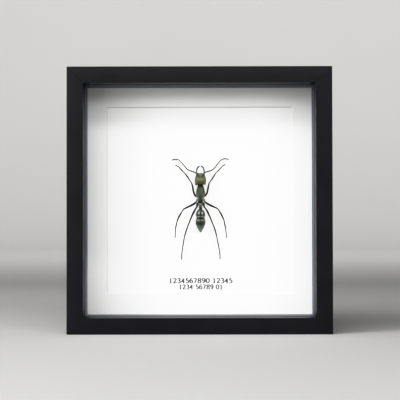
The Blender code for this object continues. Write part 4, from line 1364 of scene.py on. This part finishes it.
class SPECIMEN_OT_back(Operator):
    """Finish the back board, and build its tabs, the hanger and the rivets"""

    bl_idname = "specimen.back"
    bl_label = "Back board and hardware"

    def execute(self, context):
        look = context.scene.specimen_back
        finish_node("back_board", fibreboard("brown_fibreboard", look.board))
        steel = bright_metal("zinc_plate", look.steel, 0.42, 2)
        brass = bright_metal("brass_plate", look.brass, 0.34, 0)
        self.tabs(steel)
        self.hanger(brass)
        self.rivets(brass)
        return {"FINISHED"}

    def tabs(self, steel):
        """Eight strips that lie on the board, with a round end towards its middle."""
        low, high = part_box("tab_top_a")
        length = high.z - low.z
        half = (high.x - low.x) / 2
        tip = half * 0.98
        corners = [(0, -half), (length, -half), (length, half), (0, half)]
        outline = rounded(corners, (TAB_CORNER, tip, tip, TAB_CORNER), 8)
        rings = plate(outline, high.y - low.y, TAB_EASE)
        rings = rings + [FRAME_HEIGHT - high.z, 0, low.y - FRONT_Y]
        lengthways, across, upwards = np.moveaxis(rings, -1, 0)
        for side in INWARD:
            start, inward, along, _ = side_frame(side)
            for place in ("a", "b"):
                node = "tab_" + side + "_" + place
                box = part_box(node)
                offset = (np.array((box[0] + box[1]) / 2) - start) @ along
                points = start + lengthways[..., None] * inward + (across[..., None] + offset) * along
                points = points + upwards[..., None] * BACKWARD
                closed_piece("bendable_" + node, points, steel, "tab_steel", node)

    def hanger(self, brass):
        """The hanger's plate: round ears, and a saw edge between them whose teeth point down."""
        low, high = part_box("sawtooth_hanger")
        ear = (high.z - low.z) / 2
        reach = (high.x - low.x) / 2 - ear
        turn = np.linspace(-pi / 2, pi / 2, 15)
        right = np.stack([reach + ear * np.cos(turn), ear * np.sin(turn)], axis=1)
        steps = np.arange(2 * TOOTH_COUNT + 1)
        teeth = [(steps / 2 - TOOTH_COUNT / 2) * TOOTH_PITCH, steps % 2 * TOOTH_DEPTH - ear]
        outline = np.concatenate([right, -right, np.stack(teeth, axis=1)])
        x, z, y = np.moveaxis(plate(outline, high.y - low.y, HANGER_EASE), -1, 0)
        middle = (low + high) / 2
        points = np.stack([middle.x + x, low.y + y, middle.z + z], axis=-1)
        closed_piece("saw_edge_hanger", points, brass, "hanger_brass", "sawtooth_hanger")

    def rivets(self, brass):
        """Two domed rivets: a low quarter-ellipse crown on a straight shank."""
        across, along = circle(40)
        turn = np.linspace(0.08, pi / 2, 9)
        for side in ("left", "right"):
            low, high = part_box("hanger_rivet_" + side)
            edge = (high.x - low.x) / 2
            rim = high.y - RIVET_CROWN_HEIGHT
            shank_radii = [edge * 0.96, RIVET_SHANK_RADIUS, RIVET_SHANK_RADIUS]
            shank_depths = [rim - 0.04 * MM, rim - 0.05 * MM, low.y]
            radius = np.concatenate([edge * np.sin(turn), shank_radii])
            depth = np.concatenate([rim + RIVET_CROWN_HEIGHT * np.cos(turn), shank_depths])
            x = (low.x + high.x) / 2 + radius[:, None] * across
            z = (low.z + high.z) / 2 + radius[:, None] * along
            points = np.stack([x, depth[:, None] + 0 * x, z], axis=-1)
            node = "hanger_rivet_" + side
            closed_piece("rivet_" + side, points, brass, "hanger_brass", node, flat_ends=False)


# Stage


def soft_light(name, azimuth, elevation, distance, width, height, power):
    """A rectangular soft light that faces the middle of the frame from a direction in degrees."""
    target = Vector((0, 0, FRAME_HEIGHT / 2))
    turn = radians(azimuth)
    rise = radians(elevation)
    place = target + distance * Vector((sin(turn) * cos(rise), -cos(turn) * cos(rise), sin(rise)))
    data = bpy.data.lights.new(name, "AREA")
    data.shape = "RECTANGLE"
    data.size = width
    data.size_y = height
    data.energy = power
    light = bpy.data.objects.new(name, data)
    light.location = place
    light.rotation_euler = (place - target).to_track_quat("Z", "Y").to_euler()
    light.visible_camera = False
    bpy.context.scene.collection.objects.link(light)
    return light


class SPECIMEN_OT_stage(Operator):
    """Set up the floor, the backdrop, the lights and the camera"""

    bl_idname = "specimen.stage"
    bl_label = "Stage"

    def execute(self, context):
        look = context.scene.specimen_stage
        self.backdrop(look)
        lights = {name: soft_light(name + "_light", *place, getattr(look, name + "_power"))
                  for name, place in LIGHTS.items()}
        lights["backdrop"].rotation_euler = (radians(BACKDROP_LIGHT_TILT), 0, 0)
        self.spare_card(lights["key"])
        world = bpy.data.worlds.new("studio_air")
        world.use_nodes = True
        background = world.node_tree.nodes["Background"]
        background.inputs["Color"].default_value = (1.0, 1.0, 1.0, 1.0)
        background.inputs["Strength"].default_value = look.sky
        context.scene.world = world
        self.camera(context.scene, look)
        self.film(context.scene.view_settings)
        return {"FINISHED"}

    def spare_card(self, light):
        """Lets this light past the ant, which leaves hardly a shadow on the card."""
        ant = bpy.data.collections.new("ant_pieces")
        for piece in bpy.context.scene.objects:
            if piece.name.startswith(ANT_PIECES):
                ant.objects.link(piece)
        for item in ant.collection_objects:
            item.light_linking.link_state = "EXCLUDE"
        light.light_linking.blocker_collection = ant

    def film(self, view):
        """Standard colours with a soft shoulder for the white card and a toe that deepens the blacks."""
        view.view_transform = "Standard"
        view.use_curve_mapping = True
        view.curve_mapping.white_level = (FILM_WHITE,) * 3
        points = view.curve_mapping.curves[3].points
        points[0].location = (0.0, 0.0)
        points[1].location = (1.0, 1.0)
        for light, shown in FILM_CURVE:
            points.new(light / FILM_WHITE, shown)
        view.curve_mapping.update()

    def backdrop(self, look):
        """A round floor that curves up into a low wall: a flat disc, a quarter circle and a short rise."""
        radius = 2.2
        cove = 0.7
        rise = 1.1
        thickness = 0.02
        flat = np.array([[0.001, 0.0], [0.3, 0.0], [0.9, 0.0], [radius - cove, 0.0]])
        turn = np.linspace(0, pi / 2, 13)[1:, None]
        curve = np.concatenate([radius - cove + cove * np.sin(turn), cove - cove * np.cos(turn)], axis=1)
        profile = np.concatenate([flat, curve, [[radius, rise], [radius + thickness, rise]],
                                  curve[::-1] + [[thickness, -thickness]], flat[::-1] - [[0.0, thickness]]])
        across, along = circle(96)
        x = profile[:, :1] * across
        shape = Shape()
        shape.rings(np.stack([x, profile[:, :1] * along, profile[:, 1:] + 0 * x], axis=-1))
        shape.build("studio_floor", [studio_surface("studio_floor", look.floor)], 60)

    def camera(self, scene, look):
        """The photograph's viewpoint: low, square on and tilted up by one degree."""
        data = bpy.data.cameras.new("camera")
        data.lens = look.lens
        data.sensor_width = 36.0
        data.clip_start = 0.01
        camera = bpy.data.objects.new("camera", data)
        scene.collection.objects.link(camera)
        turns = [Matrix.Rotation(radians(turn), 4, axis) for turn, axis in zip(CAMERA_TURNS, "XZY")]
        tilt, pan, roll = turns
        upright = Matrix.Rotation(pi / 2, 4, "X")
        camera.matrix_world = Matrix.Translation(CAMERA_PLACE) @ pan @ tilt @ roll @ upright
        scene.camera = camera


# Panel and registration

STEPS = (
    SPECIMEN_OT_rails,
    SPECIMEN_OT_spacers,
    SPECIMEN_OT_glass,
    SPECIMEN_OT_boards,
    SPECIMEN_OT_caption,
    SPECIMEN_OT_ant_body,
    SPECIMEN_OT_ant_limbs,
    SPECIMEN_OT_back,
    SPECIMEN_OT_stage,
)
SETTINGS = {
    "specimen_frame": FrameSettings,
    "specimen_card": CardSettings,
    "specimen_ant": AntSettings,
    "specimen_back": BackSettings,
    "specimen_stage": StageSettings,
}


class SPECIMEN_PT_panel(Panel):
    """Lists the steps that build the specimen"""

    bl_idname = "SPECIMEN_PT_panel"
    bl_label = "Framed specimen"
    bl_space_type = "VIEW_3D"
    bl_region_type = "UI"
    bl_category = "Specimen"

    def draw(self, context):
        for operator in STEPS:
            self.layout.operator(operator.bl_idname)
        for name in SETTINGS:
            column = self.layout.column()
            settings = getattr(context.scene, name)
            for key in settings.bl_rna.properties.keys():
                if key not in ("rna_type", "name"):
                    column.prop(settings, key)


def register():
    """Registers the settings, the steps and the panel."""
    for name, group in SETTINGS.items():
        bpy.utils.register_class(group)
        setattr(bpy.types.Scene, name, PointerProperty(type=group))
    for item in (*STEPS, SPECIMEN_PT_panel):
        bpy.utils.register_class(item)


def unregister():
    """Takes them away again, in the opposite order."""
    for item in (SPECIMEN_PT_panel, *reversed(STEPS)):
        bpy.utils.unregister_class(item)
    for name, group in reversed(SETTINGS.items()):
        delattr(bpy.types.Scene, name)
        bpy.utils.unregister_class(group)


def main():
    """Runs each step in order."""
    register()
    for operator in STEPS:
        family, action = operator.bl_idname.split(".")
        getattr(getattr(bpy.ops, family), action)()
    bpy.context.view_layer.update()


if __name__ == "__main__":
    main()
